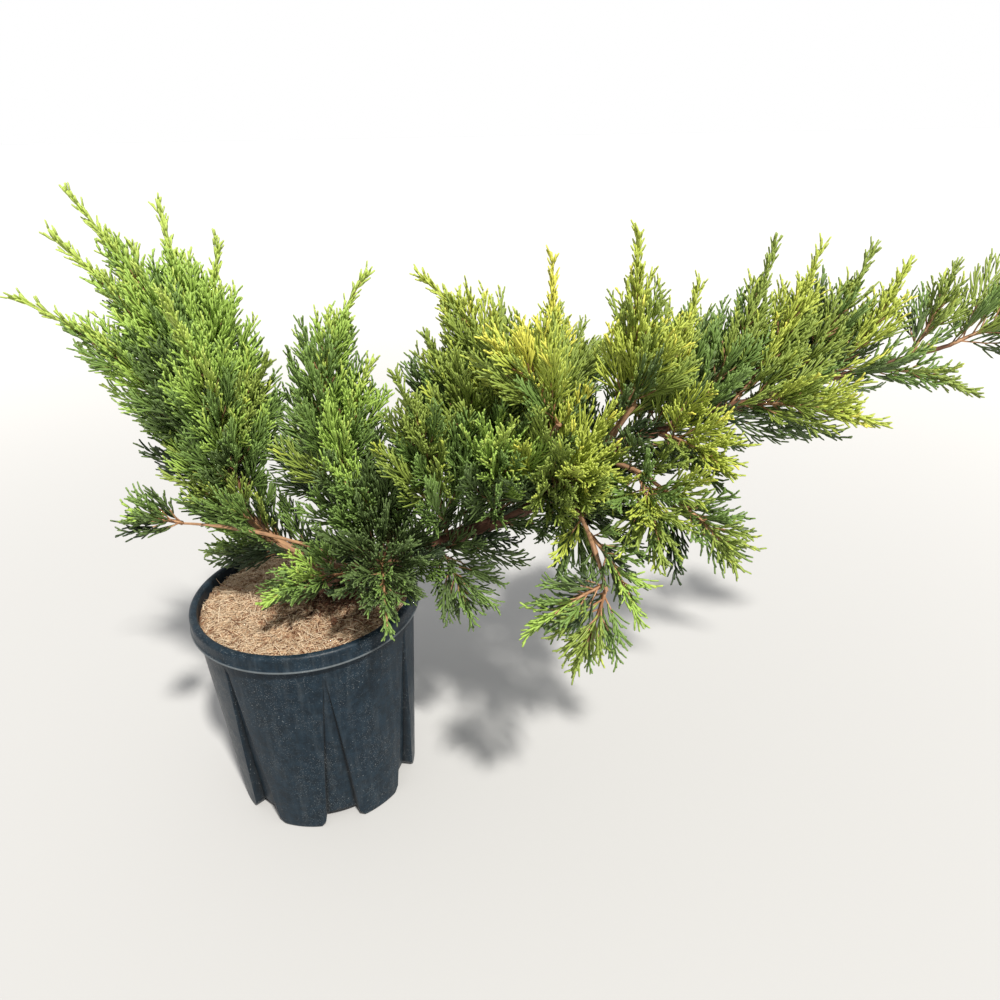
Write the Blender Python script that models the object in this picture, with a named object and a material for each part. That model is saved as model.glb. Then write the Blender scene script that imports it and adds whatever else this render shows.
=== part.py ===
"""A lopsided, wide-spreading Chinese juniper, nursery grown in its round plastic pot.

Metres, Z up, Y away from the side that the plant is shown from. The origin is the middle of the
pot's flat underside. The trunk rises from the soil, leans over the rim towards +X and runs on as
the leader. Boughs stand on it, and plumes and sprays of scale leaves stand on both.
"""

from collections import namedtuple
from itertools import product
from math import cos, pi, sin

import bmesh
import bpy
import numpy as np
from mathutils.bvhtree import BVHTree

# Clearances
GAP = 0.0003

# Pot
POT_HEIGHT = 0.303
RIM_RADIUS = 0.150
RIM_INNER = 0.138
RIM_DEPTH = 0.0216
WALL_TOP = 0.142
WALL_FOOT = 0.113
PANEL_FOOT = 0.1255
WALL = 0.0022
FEET = 7
NOTCH = 0.012
FLOOR = 0.003
PAD_RADIUS = 0.030
FIRST_GROOVE = -32.5
GROOVE_HALF = 11.0
GROOVE_TOP = 0.272
GROOVE_LEAST = 1.2
FOOT_WIDTH = 0.005
FOOT_ROUND = 0.002
RIM_ROUND = 0.005
RIM_EDGE = 0.0015

# Soil, and the layer of fibrous mulch on it
SOIL_TOP = 0.291
SOIL_CLEAR = 0.0008
SOIL_SIDES = 32

# Trunk: the stations that its axis runs through, its thickness and the flare at the soil
TRUNK_LINE = (
    (0.042, 0.000, SOIL_TOP + GAP),
    (0.050, 0.000, 0.315),
    (0.085, 0.000, 0.335),
    (0.150, 0.000, 0.357),
    (0.220, 0.000, 0.387),
    (0.300, 0.000, 0.424),
    (0.360, 0.000, 0.466),
    (0.430, 0.000, 0.510),
    (0.530, 0.010, 0.543),
    (0.670, 0.030, 0.575),
    (0.815, 0.051, 0.607),
)
TRUNK_WIDTH = 0.0130
TRUNK_TIP_WIDTH = 0.0022
TRUNK_TAPER = 1.3
TRUNK_SIDES = 8
TRUNK_RINGS = 18
FLARE = 0.010
FLARE_HEIGHT = 0.012
ROOTS = 3
ROOT_SWELL = 0.22

# Boughs: what each stands on, the share of that limb's length at which it stands, its bearing
# from +X towards +Y, its rise above the level, its length, how far its middle bows up as a share
# of its length, and its two half widths.
BOUGH_SIDES = 6
BOUGH_RINGS = 6
Bough = namedtuple("Bough", "name limb at bearing rise length bow width tip_width")
BOUGHS = (
    Bough("left_bough", "trunk", 0.045, -178, 60, 0.260, -0.20, 0.0080, 0.0042),
    Bough("low_left_bough", "trunk", 0.070, -156, 29, 0.225, 0.05, 0.0026, 0.0016),
    Bough("inner_bough", "trunk", 0.085, -171, 79, 0.140, -0.05, 0.0042, 0.0028),
    Bough("upper_bough_1", "trunk", 0.270, 26, 77, 0.120, 0.03, 0.0056, 0.0034),
    Bough("upper_bough_2", "trunk", 0.350, -51, 65, 0.130, 0.05, 0.0050, 0.0032),
    Bough("upper_bough_3", "trunk", 0.460, -6, 57, 0.090, 0.00, 0.0050, 0.0032),
    Bough("hanging_bough", "trunk", 0.400, -79, -10, 0.185, 0.12, 0.0036, 0.0022),
    Bough("front_bough", "trunk", 0.480, -57, -5, 0.130, 0.08, 0.0034, 0.0022),
    Bough("back_bough_1", "trunk", 0.140, 118, 21, 0.145, 0.05, 0.0052, 0.0032),
    Bough("back_bough_2", "trunk", 0.300, 73, 31, 0.135, 0.05, 0.0052, 0.0032),
)

# Masses of foliage: the same, and the reach of their longest side shoots
Mass = namedtuple("Mass", "name limb at bearing rise length bow reach")
MASSES = (
    Mass("left_plume_1", "left_bough", 1.00, 175, 65, 0.270, 0.05, 0.081),
    Mass("left_plume_2", "left_bough", 0.92, -166, 62, 0.255, 0.06, 0.078),
    Mass("left_plume_3", "left_bough", 0.80, -159, 52, 0.260, 0.07, 0.081),
    Mass("left_plume_4", "left_bough", 0.95, 124, 74, 0.245, 0.05, 0.090),
    Mass("left_plume_5", "left_bough", 0.86, 43, 80, 0.230, 0.03, 0.101),
    Mass("left_plume_6", "left_bough", 0.68, -14, 64, 0.175, 0.05, 0.090),
    Mass("left_plume_7", "left_bough", 0.60, 168, 50, 0.190, 0.05, 0.077),
    Mass("left_plume_8", "left_bough", 0.78, 109, 59, 0.255, 0.05, 0.106),
    Mass("left_plume_9", "left_bough", 0.56, -94, 71, 0.295, 0.06, 0.101),
    Mass("left_spray", "left_bough", 0.32, -155, 47, 0.160, 0.05, 0.084),
    Mass("base_spray", "left_bough", 0.24, 165, -7, 0.130, 0.08, 0.076),
    Mass("low_left_spray", "low_left_bough", 1.00, -150, 20, 0.055, 0.05, 0.050),
    Mass("inner_plume_1", "inner_bough", 1.00, 8, 76, 0.235, 0.12, 0.087),
    Mass("inner_plume_2", "inner_bough", 0.75, -11, 72, 0.175, 0.05, 0.095),
    Mass("inner_spray", "trunk", 0.125, -126, 60, 0.190, 0.05, 0.105),
    Mass("pot_spray_1", "trunk", 0.06, -131, 10, 0.135, 0.10, 0.081),
    Mass("pot_spray_2", "trunk", 0.105, -80, 6, 0.180, 0.18, 0.112),
    Mass("upper_plume_1", "upper_bough_1", 1.00, 170, 65, 0.205, 0.14, 0.095),
    Mass("upper_plume_2", "upper_bough_1", 0.50, -157, 70, 0.195, 0.05, 0.120),
    Mass("upper_plume_3", "upper_bough_2", 1.00, -163, 52, 0.135, 0.05, 0.092),
    Mass("upper_plume_4", "trunk", 0.385, 84, 80, 0.275, -0.03, 0.087),
    Mass("upper_plume_5", "upper_bough_3", 1.00, 128, 87, 0.195, 0.00, 0.067),
    Mass("upper_plume_6", "upper_bough_3", 0.66, -20, 63, 0.135, 0.05, 0.092),
    Mass("upper_plume_7", "trunk", 0.535, 34, 64, 0.190, -0.05, 0.073),
    Mass("upper_plume_8", "trunk", 0.61, 25, 63, 0.220, -0.08, 0.078),
    Mass("upper_plume_9", "trunk", 0.67, 21, 60, 0.205, -0.08, 0.076),
    Mass("upper_plume_10", "trunk", 0.73, 16, 56, 0.195, -0.08, 0.073),
    Mass("upper_plume_11", "trunk", 0.81, 14, 57, 0.155, -0.08, 0.064),
    Mass("upper_plume_12", "trunk", 0.94, 35, 58, 0.115, -0.06, 0.064),
    Mass("end_plume", "trunk", 1.00, 5, 24, 0.105, 0.00, 0.109),
    Mass("end_spray", "trunk", 0.855, -21, -6, 0.130, 0.10, 0.053),
    Mass("low_right_spray_1", "trunk", 0.69, -32, 1, 0.150, 0.06, 0.078),
    Mass("low_right_spray_2", "trunk", 0.565, -66, -1, 0.130, 0.05, 0.092),
    Mass("front_spray_1", "front_bough", 1.00, -49, -30, 0.085, 0.10, 0.060),
    Mass("front_spray_2", "front_bough", 0.40, -85, -21, 0.130, 0.06, 0.095),
    Mass("front_spray_3", "trunk", 0.365, -69, 33, 0.200, 0.05, 0.129),
    Mass("front_spray_4", "trunk", 0.215, -111, 67, 0.265, 0.05, 0.118),
    Mass("front_spray_5", "trunk", 0.29, -82, 54, 0.200, 0.05, 0.112),
    Mass("hanging_spray_1", "hanging_bough", 1.00, -136, -58, 0.090, -0.05, 0.064),
    Mass("hanging_spray_2", "hanging_bough", 0.96, -166, -29, 0.095, 0.05, 0.053),
    Mass("hanging_spray_3", "hanging_bough", 0.60, -61, -32, 0.110, 0.08, 0.053),
    Mass("under_spray", "trunk", 0.195, -58, -42, 0.100, 0.10, 0.078),
    Mass("back_plume_1", "back_bough_1", 0.90, 153, 14, 0.145, 0.05, 0.126),
    Mass("back_plume_2", "back_bough_2", 0.60, 100, 33, 0.225, 0.05, 0.126),
    Mass("back_plume_3", "back_bough_2", 1.00, 44, 29, 0.190, 0.05, 0.123),
    Mass("back_plume_4", "trunk", 0.56, 61, 17, 0.275, 0.05, 0.112),
    Mass("back_plume_5", "trunk", 0.765, 61, 17, 0.195, 0.05, 0.101),
)

# Side shoots along a stem. Each is one toothed blade: a tip and one to three pairs of side teeth.
STEM_WIDTH = 0.0030
STEM_TIP_WIDTH = 0.0014
STEM_RINGS = 4
SHOOT_PITCH = 0.040
FEWEST_SHOOTS = 4
MOST_SHOOTS = 7
FIRST_SHOOT = 0.08
LAST_SHOOT = 0.74
GOLDEN_TURN = 137.5
SHOOT_ANGLE = 52
TIP_ANGLE = 24
ANGLE_CHANCE = 6
SHOOT_ROLL = 40
SHOOT_LIFT = 0.16
LENGTH_CHANCE = (0.88, 1.15)
LANCE_FOOT = 1.15
LANCE_END = 0.80
LANCE_FULL = 2.3

# What a shoot that meets another node tries in turn: shorter lengths, and other turns at each
SHORTENED = (1.0, 0.8, 0.62, 0.45)
TURNED = (0, GOLDEN_TURN, -GOLDEN_TURN, 60, -60)

# The blades: where the one at the tip starts and how narrow it is, the lengths that take more
# teeth, their thickness and foot, the room that is kept round one, and how much further than the
# nearest stem its own may lie
TIP_BLADE_FROM = 0.72
TIP_SPREAD = 0.55
TWO_PAIRS_FROM = 0.056
THREE_PAIRS_FROM = 0.150
BLADE_THICK = 0.0018
BLADE_FOOT = 0.0016
SWOLLEN = 1.12
OWN_SPACE = 2.6
SEED = 11

# A blade's teeth on one side: how far along it each has its tip and ends, and how far out
TEETH = {
    1: ((0.58, 0.30), (0.54, 0.09)),
    2: ((0.44, 0.31), (0.40, 0.13), (0.73, 0.25), (0.69, 0.09)),
    3: ((0.36, 0.21), (0.34, 0.05), (0.60, 0.21), (0.57, 0.04), (0.82, 0.14), (0.80, 0.03)),
}
RIBS = {1: (0.42,), 2: (0.30, 0.60), 3: (0.28, 0.64)}


def unit(vector):
    return vector / np.linalg.norm(vector)


def smooth_line(stations, shares):
    """Points at these shares of the length of a Catmull-Rom curve through the stations."""
    points = np.array(stations, float)
    steps = np.linalg.norm(np.diff(points, axis=0), axis=1)
    lengths = np.r_[0, np.cumsum(steps)]
    ends = np.vstack([2 * points[0] - points[1], points, 2 * points[-1] - points[-2]])
    wanted = np.asarray(shares) * lengths[-1]
    span = np.clip(np.searchsorted(lengths, wanted, side="right") - 1, 0, len(steps) - 1)
    u = ((wanted - lengths[span]) / steps[span])[:, None]
    a, b, c, d = (ends[span + i] for i in range(4))
    cubic = (3 * b - 3 * c + d - a) * u**3
    return 0.5 * (2 * b + (c - a) * u + (2 * a - 5 * b + 4 * c - d) * u**2 + cubic)


def arc(start, bearing, rise, length, bow, count):
    """A shallow arc from start: a straight chord plus a parabola that lifts its middle by bow."""
    turn, tilt = np.radians([bearing, rise])
    flat = np.array([np.cos(turn), np.sin(turn), 0])
    chord = np.cos(tilt) * flat + np.sin(tilt) * np.array([0, 0, 1])
    lift = -np.sin(tilt) * flat + np.cos(tilt) * np.array([0, 0, 1])
    t = np.linspace(0, 1, count)[:, None]
    return start + length * (t * chord + bow * 4 * t * (1 - t) * lift)


class Limb:
    """A tapering limb: its path, the half width at each point, and a frame that doesn't twist."""

    def __init__(self, path, widths, sides, foot):
        self.path = path
        self.widths = widths
        self.sides = sides
        steps = np.diff(path, axis=0)
        lengths = np.linalg.norm(steps, axis=1)
        self.shares = np.r_[0, np.cumsum(lengths)] / lengths.sum()
        along = steps / lengths[:, None]
        self.normals = [foot, *(unit(a + b) for a, b in zip(along, along[1:])), along[-1]]
        first = np.cross(foot, [0.0, 1.0, 0.0] if abs(foot[1]) < 0.9 else [1.0, 0.0, 0.0])
        across = [unit(first)]
        for normal in self.normals[1:]:
            across.append(unit(across[-1] - (across[-1] @ normal) * normal))
        self.across = across

    def at(self, share):
        """The point on the axis, the way the limb runs, the frame's two sides and the half width."""
        k = min(np.searchsorted(self.shares, share, side="right"), len(self.shares) - 1) - 1
        u = (share - self.shares[k]) / (self.shares[k + 1] - self.shares[k])
        point = (1 - u) * self.path[k] + u * self.path[k + 1]
        along = unit(self.path[k + 1] - self.path[k])
        side = (1 - u) * self.across[k] + u * self.across[k + 1]
        side = unit(side - (side @ along) * along)
        width = (1 - u) * self.widths[k] + u * self.widths[k + 1]
        return point, along, side, np.cross(along, side), width

    def seat(self, share, heading):
        """Where a limb that heads this way stands, a gap off the nearest flat, and its normal."""
        point, along, side, other, width = self.at(share)
        if share == 1:
            return point + GAP * along, along
        turn = np.arctan2(heading @ other, heading @ side)
        step = 2 * pi / self.sides
        turn = (np.floor(turn / step) + 0.5) * step
        normal = np.cos(turn) * side + np.sin(turn) * other
        return point + (width * cos(pi / self.sides) + GAP) * normal, normal


def heading_of(bearing, rise):
    turn, tilt = np.radians([bearing, rise])
    return np.array([cos(turn) * cos(tilt), sin(turn) * cos(tilt), sin(tilt)])


def trunk_limb():
    """The trunk's rings lie closer together near the soil, where the flare is."""
    shares = np.linspace(0, 1, TRUNK_RINGS) ** 1.5
    path = smooth_line(TRUNK_LINE, shares)
    height = path[:, 2] - path[0, 2]
    taper = TRUNK_TIP_WIDTH + (TRUNK_WIDTH - TRUNK_TIP_WIDTH) * (1 - shares) ** TRUNK_TAPER
    widths = taper + FLARE * np.exp(-height / FLARE_HEIGHT)
    return Limb(path, widths, TRUNK_SIDES, np.array([0.0, 0.0, 1.0]))


def standing_limb(row, limbs, widths, sides):
    """A limb that stands on the one that its row names."""
    start, normal = limbs[row.limb].seat(row.at, heading_of(row.bearing, row.rise))
    path = arc(start, row.bearing, row.rise, row.length, row.bow, len(widths))
    return Limb(path, widths, sides, normal)


def limb_mesh(limb, lobes=0):
    """Rings carried along the limb's path, closed by a flat cap at each end. Lobes widen the foot
    into that many roots."""
    mesh = bmesh.new()
    rings = []
    turns = np.linspace(0, 2 * pi, limb.sides, endpoint=False)
    foot = np.exp(-(limb.path[:, 2] - limb.path[0, 2]) / FLARE_HEIGHT)
    for point, normal, across, width, near in zip(
        limb.path, limb.normals, limb.across, limb.widths, foot
    ):
        other = np.cross(normal, across)
        swell = 1 + (ROOT_SWELL * near * np.cos(lobes * turns) if lobes else 0 * turns)
        rings.append(
            [
                mesh.verts.new(point + width * s * (cos(t) * across + sin(t) * other))
                for t, s in zip(turns, swell)
            ]
        )
    join_rings(mesh, rings)
    mesh.faces.new(rings[0][::-1])
    mesh.faces.new(rings[-1])
    return mesh


def join_rings(mesh, rings):
    for low, high in zip(rings, rings[1:]):
        for a, b, c, d in zip(low, low[1:] + low[:1], high[1:] + high[:1], high):
            mesh.faces.new((a, b, c, d))


def material(name, colour, roughness):
    made = bpy.data.materials.new(name)
    made.use_nodes = True
    shader = made.node_tree.nodes["Principled BSDF"]
    shader.inputs["Base Color"].default_value = (*colour, 1)
    shader.inputs["Roughness"].default_value = roughness
    shader.inputs["Metallic"].default_value = 0
    return made


def add_object(name, mesh, made_of, collection=None):
    """An object of this mesh, with its normals set to face out."""
    bmesh.ops.recalc_face_normals(mesh, faces=mesh.faces)
    data = bpy.data.meshes.new(name)
    mesh.to_mesh(data)
    mesh.free()
    if made_of:
        data.materials.append(made_of)
    obj = bpy.data.objects.new(name, data)
    (collection or bpy.context.scene.collection).objects.link(obj)
    return obj


def smooth_shading(obj, degrees):
    obj.data.shade_smooth()
    obj.data.set_sharp_from_angle(angle=np.radians(degrees))


def groove_half(height):
    """A groove's half angle: it runs out to a point just under the rim."""
    return max(GROOVE_HALF * (1 - height / GROOVE_TOP), GROOVE_LEAST)


def pot_ring(mesh, height, panel, groove, groove_height=None, wall=0.0):
    """One closed ring of the pot, with a step in and out again at each groove. A ring on the
    inside has its steps a wall's thickness wider."""
    half = groove_half(height) + np.degrees(wall / panel)
    pitch = 360 / FEET
    low = height if groove_height is None else groove_height
    ring = []
    for foot in range(FEET):
        middle = FIRST_GROOVE + foot * pitch
        for offset in (-half, half):
            ring.append((middle + offset, groove, low))
        for share in (0, 0.25, 0.5, 0.75, 1):
            ring.append((middle + half + share * (pitch - 2 * half), panel, height))
    return [
        mesh.verts.new((r * sin(np.radians(a)), -r * cos(np.radians(a)), z)) for a, r, z in ring
    ]


def pot_wall(height):
    """The wall's outer radius at this height on a panel and in a groove."""
    share = height / (POT_HEIGHT - RIM_DEPTH)
    panel = PANEL_FOOT + (WALL_TOP - PANEL_FOOT) * share
    groove = WALL_FOOT + (WALL_TOP - WALL_FOOT) * share
    return panel, groove


def make_pot():
    """Seven feet and a middle pad to stand on, grooved wall, rolled rim, and an open inside."""
    mesh = bmesh.new()
    under_rim = POT_HEIGHT - RIM_DEPTH
    floor_top = NOTCH + FLOOR
    inside = WALL_FOOT - FOOT_WIDTH
    low_panel, low_groove = pot_wall(0.0)
    floor_panel, floor_groove = pot_wall(floor_top)
    panel, groove = pot_wall(GROOVE_TOP)
    profile = [
        (0.0, PAD_RADIUS, PAD_RADIUS),
        (NOTCH, PAD_RADIUS + FOOT_ROUND, PAD_RADIUS + FOOT_ROUND),
        (NOTCH, inside - FOOT_ROUND, inside - FOOT_ROUND),
        (0.0, inside, inside, NOTCH),
        (0.0, low_panel, low_groove, NOTCH),
        (GROOVE_TOP, panel, groove),
        (under_rim, WALL_TOP, WALL_TOP),
        (under_rim + RIM_EDGE, RIM_RADIUS - RIM_EDGE, RIM_RADIUS - RIM_EDGE),
        (under_rim + RIM_ROUND, RIM_RADIUS, RIM_RADIUS),
        (POT_HEIGHT - RIM_ROUND, RIM_RADIUS, RIM_RADIUS),
        (POT_HEIGHT, RIM_RADIUS - RIM_ROUND, RIM_RADIUS - RIM_ROUND),
        (POT_HEIGHT, RIM_INNER + RIM_EDGE, RIM_INNER + RIM_EDGE),
        (POT_HEIGHT - RIM_EDGE, RIM_INNER, RIM_INNER),
        (GROOVE_TOP, panel - WALL, groove - WALL, None, WALL),
        (floor_top, floor_panel - WALL, floor_groove - WALL, None, WALL),
    ]
    rings = [pot_ring(mesh, *row) for row in profile]
    join_rings(mesh, rings)
    mesh.faces.new(rings[0][::-1])
    mesh.faces.new(rings[-1])
    pot = add_object("pot", mesh, material("pot_plastic", (0.030, 0.038, 0.044), 0.5))
    smooth_shading(pot, 30)
    return pot


def make_soil():
    """The filled pot's soil, from its floor to the mulch on top, clear of the wall's flats."""
    mesh = bmesh.new()
    low = NOTCH + FLOOR + GAP
    low_flat = cos(np.radians(GROOVE_HALF + 1))
    rim_flat = cos(pi / (4 * FEET))
    rows = (
        (low, (pot_wall(low)[1] - WALL) * low_flat - SOIL_CLEAR),
        (GROOVE_TOP, RIM_INNER * rim_flat - SOIL_CLEAR),
        (SOIL_TOP, RIM_INNER * rim_flat - SOIL_CLEAR),
    )
    turns = np.linspace(0, 2 * pi, SOIL_SIDES, endpoint=False)
    rings = [[mesh.verts.new((r * cos(t), r * sin(t), z)) for t in turns] for z, r in rows]
    join_rings(mesh, rings)
    mesh.faces.new(rings[0][::-1])
    mesh.faces.new(rings[-1])
    return add_object("soil", mesh, material("mulch", (0.42, 0.26, 0.15), 0.95))


def blade(start, way, flat, length, swollen=1.0, spread=1.0):
    """A toothed blade's points and triangles: sharp round its outline, thickest along its rib."""
    pairs = 1 + (length > TWO_PAIRS_FROM) + (length > THREE_PAIRS_FROM)
    side = np.array([(0.0, BLADE_FOOT / length), *TEETH[pairs]])
    rib = np.array(RIBS[pairs])
    up = np.cross(way, flat)
    wide = length * swollen
    left = start + length * side[:, :1] * way + wide * spread * side[:, 1:] * flat
    right = start + length * side[:, :1] * way - wide * spread * side[:, 1:] * flat
    outline = np.vstack([right, start + wide * way, left[::-1]])
    middle = start + length * rib[:, None] * way
    thick = BLADE_THICK * swollen * up
    points = np.vstack([outline, middle + thick, middle - thick])
    count, ribs = len(outline), len(rib)
    nearest = [int(np.argmin(abs(rib - 0.5 * (u + v)))) for u, v in edge_places(side)]
    faces = []
    for k, near in enumerate(nearest):
        following = (k + 1) % count
        faces.append((k, following, count + near))
        faces.append((following, k, count + ribs + near))
        if near != nearest[(k + 1) % count]:
            other = nearest[(k + 1) % count]
            faces.append((following, count + other, count + near))
            faces.append((following, count + ribs + near, count + ribs + other))
    return points, faces


def edge_places(side):
    """How far along the blade each edge of its outline starts and ends, round from the foot."""
    places = [*side[:, 0], 1.0, *side[::-1, 0]]
    return list(zip(places, places[1:] + places[:1]))


def blade_mesh(points, faces):
    mesh = bmesh.new()
    corners = [mesh.verts.new(p) for p in points]
    for face in faces:
        mesh.faces.new([corners[i] for i in face])
    return mesh


def least_distances(point, starts, ends):
    """The distance from a point to each straight segment."""
    steps = ends - starts
    share = np.clip(((point - starts) * steps).sum(1) / (steps * steps).sum(1), 0, 1)
    return np.linalg.norm(starts + share[:, None] * steps - point, axis=1)


class Space:
    """What is taken so far, as triangles for each node, and every mass's stem."""

    def __init__(self):
        self.points = {}
        self.faces = {}
        self.trees = {}
        self.stems = {}

    def take(self, owner, points, faces):
        before = self.points.get(owner, np.empty((0, 3)))
        shifted = [tuple(i + len(before) for i in face) for face in faces]
        self.points[owner] = np.vstack([before, points])
        self.faces[owner] = self.faces.get(owner, []) + shifted
        self.trees[owner] = BVHTree.FromPolygons(self.points[owner].tolist(), self.faces[owner])

    def take_object(self, obj):
        points = np.array([v.co for v in obj.data.vertices])
        self.take(obj.name, points, [tuple(f.vertices) for f in obj.data.polygons])

    def in_own_space(self, owner, points):
        """Whether every point lies about as near to its own stem as to any other mass's."""
        for point in points:
            away = {name: least_distances(point, *s).min() for name, s in self.stems.items()}
            if away[owner] > OWN_SPACE * min(away.values()):
                return False
        return True

    def is_clear(self, owner, points, faces):
        tree = BVHTree.FromPolygons(points.tolist(), faces)
        return not any(tree.overlap(t) for name, t in self.trees.items() if name != owner)


def blades_of(row, stem, space, chance):
    """The blades along a stem. They turn by the golden angle from one to the next, and their
    lengths follow a lance shape. One that meets another node is turned on, then shortened, and
    left out if that doesn't help."""
    count = int(np.clip(round(row.length / SHOOT_PITCH), FEWEST_SHOOTS, MOST_SHOOTS))
    turn = chance.uniform(0, 360)
    made = [tip_blade(stem)]
    space.take(row.name, *made[0])
    for share in np.linspace(FIRST_SHOOT, LAST_SHOOT, count):
        turn += GOLDEN_TURN
        angle = SHOOT_ANGLE + (TIP_ANGLE - SHOOT_ANGLE) * share
        angle += chance.uniform(-ANGLE_CHANCE, ANGLE_CHANCE)
        roll = chance.uniform(-SHOOT_ROLL, SHOOT_ROLL)
        lance = LANCE_FOOT * (1 - (share / LANCE_END) ** LANCE_FULL)
        length = row.reach * lance * chance.uniform(*LENGTH_CHANCE)
        for shortened, turned in product(SHORTENED, TURNED):
            way, flat = shoot_ways(stem, share, turn + turned, angle, roll)
            shape = (stem.at(share)[0], way, flat, length * shortened)
            swollen = blade(*shape, SWOLLEN)
            if space.in_own_space(row.name, swollen[0]) and space.is_clear(row.name, *swollen):
                made.append(blade(*shape))
                space.take(row.name, *made[-1])
                break
    return made


def shoot_ways(stem, share, turn, angle, roll):
    """The way a side shoot runs, and the way its blade spreads, from angles in degrees."""
    _, along, side, other, _ = stem.at(share)
    turn, lean, roll = np.radians([turn, angle, roll])
    out = cos(turn) * side + sin(turn) * other
    way = unit(cos(lean) * along + sin(lean) * out + np.array([0, 0, SHOOT_LIFT]))
    flat = unit(along - (along @ way) * way)
    return way, cos(roll) * flat + sin(roll) * np.cross(way, flat)


def tip_blade(stem):
    """The blade that ends a plume, at the very tip of its stem."""
    start = stem.at(TIP_BLADE_FROM)[0]
    step = stem.path[-1] - start
    way = unit(step)
    side = stem.across[-1]
    flat = unit(side - (side @ way) * way)
    return blade(start, way, flat, np.linalg.norm(step), spread=TIP_SPREAD)


def one_body(data):
    """Keeps the mesh's outer body: a sealed hollow is filled and a loose scrap is dropped."""
    mesh = bmesh.new()
    mesh.from_mesh(data)
    left = set(mesh.verts)
    bodies = []
    while left:
        body, edge = set(), {left.pop()}
        while edge:
            body |= edge
            edge = {e.other_vert(v) for v in edge for e in v.link_edges} - body
        left -= body
        bodies.append(body)
    outer = max(bodies, key=len)
    bmesh.ops.delete(mesh, geom=[v for v in mesh.verts if v not in outer], context="VERTS")
    mesh.to_mesh(data)
    mesh.free()


def fuse(obj, blades):
    """One Boolean union of a stem with a collection of blades, applied."""
    parts = bpy.data.collections.new(obj.name + "_blades")
    bpy.context.scene.collection.children.link(parts)
    for points, faces in blades:
        add_object("blade", blade_mesh(points, faces), None, parts)
    union = obj.modifiers.new("Union", "BOOLEAN")
    union.operation = "UNION"
    union.operand_type = "COLLECTION"
    union.collection = parts
    union.solver = "MANIFOLD"
    graph = bpy.context.evaluated_depsgraph_get()
    fused = bpy.data.meshes.new_from_object(obj.evaluated_get(graph))
    obj.modifiers.clear()
    obj.data = fused
    one_body(fused)
    for part in list(parts.objects):
        bpy.data.objects.remove(part)
    bpy.data.collections.remove(parts)


def make_plant(space):
    """Trunk and boughs first, then every stem, then the blades of each mass in turn."""
    limbs = {"trunk": trunk_limb()}
    for row in BOUGHS:
        widths = np.linspace(row.width, row.tip_width, BOUGH_RINGS)
        limbs[row.name] = standing_limb(row, limbs, widths, BOUGH_SIDES)
    bark = material("bark", (0.20, 0.10, 0.055), 0.85)
    for name, limb in limbs.items():
        obj = add_object(name, limb_mesh(limb, ROOTS if name == "trunk" else 0), bark)
        smooth_shading(obj, 50)
        space.take_object(obj)
    leaf = material("foliage", (0.10, 0.20, 0.03), 0.6)
    widths = np.linspace(STEM_WIDTH, STEM_TIP_WIDTH, STEM_RINGS)
    stems = {row.name: standing_limb(row, limbs, widths, 3) for row in MASSES}
    masses = {name: add_object(name, limb_mesh(stem), leaf) for name, stem in stems.items()}
    for name, stem in stems.items():
        space.take_object(masses[name])
        space.stems[name] = (stem.path[:-1], stem.path[1:])
    chance = np.random.default_rng(SEED)
    for row in MASSES:
        fuse(masses[row.name], blades_of(row, stems[row.name], space, chance))


def main():
    for obj in list(bpy.data.objects):
        bpy.data.objects.remove(obj)
    space = Space()
    space.take_object(make_pot())
    space.take_object(make_soil())
    make_plant(space)


main()
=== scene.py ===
"""The looks of a lopsided, wide-spreading juniper in a nursery pot: plastic, mulch, bark, foliage.

Metres, Z up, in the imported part's frame. The origin is the middle of the pot's underside, +X is the
way the trunk leans, and +Y is away from the camera.
"""

from collections import namedtuple
from math import cos, pi, radians, sin

import bpy
import numpy as np
from bpy.props import FloatProperty, FloatVectorProperty, IntProperty, PointerProperty
from mathutils import Matrix


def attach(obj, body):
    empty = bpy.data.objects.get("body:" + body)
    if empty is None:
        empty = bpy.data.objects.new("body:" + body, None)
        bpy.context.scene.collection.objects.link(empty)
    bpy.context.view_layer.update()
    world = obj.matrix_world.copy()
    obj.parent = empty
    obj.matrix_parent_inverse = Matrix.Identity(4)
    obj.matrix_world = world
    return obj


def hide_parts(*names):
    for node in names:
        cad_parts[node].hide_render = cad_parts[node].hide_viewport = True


bl_info = {
    "name": "Potted Spreading Juniper",
    "version": (1, 0, 0),
    "blender": (4, 5, 0),
    "location": "3D View > Sidebar > Juniper",
    "description": "Dresses the packed model of a potted juniper with its bark, foliage and pot",
    "category": "Object",
}

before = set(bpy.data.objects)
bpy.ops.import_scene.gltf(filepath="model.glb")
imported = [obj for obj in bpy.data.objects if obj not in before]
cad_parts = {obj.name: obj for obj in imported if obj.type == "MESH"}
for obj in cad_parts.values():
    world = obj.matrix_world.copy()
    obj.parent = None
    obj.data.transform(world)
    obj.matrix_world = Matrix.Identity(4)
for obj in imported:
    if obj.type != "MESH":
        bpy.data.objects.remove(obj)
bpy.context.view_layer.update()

UP = np.array([0.0, 0.0, 1.0])

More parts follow.
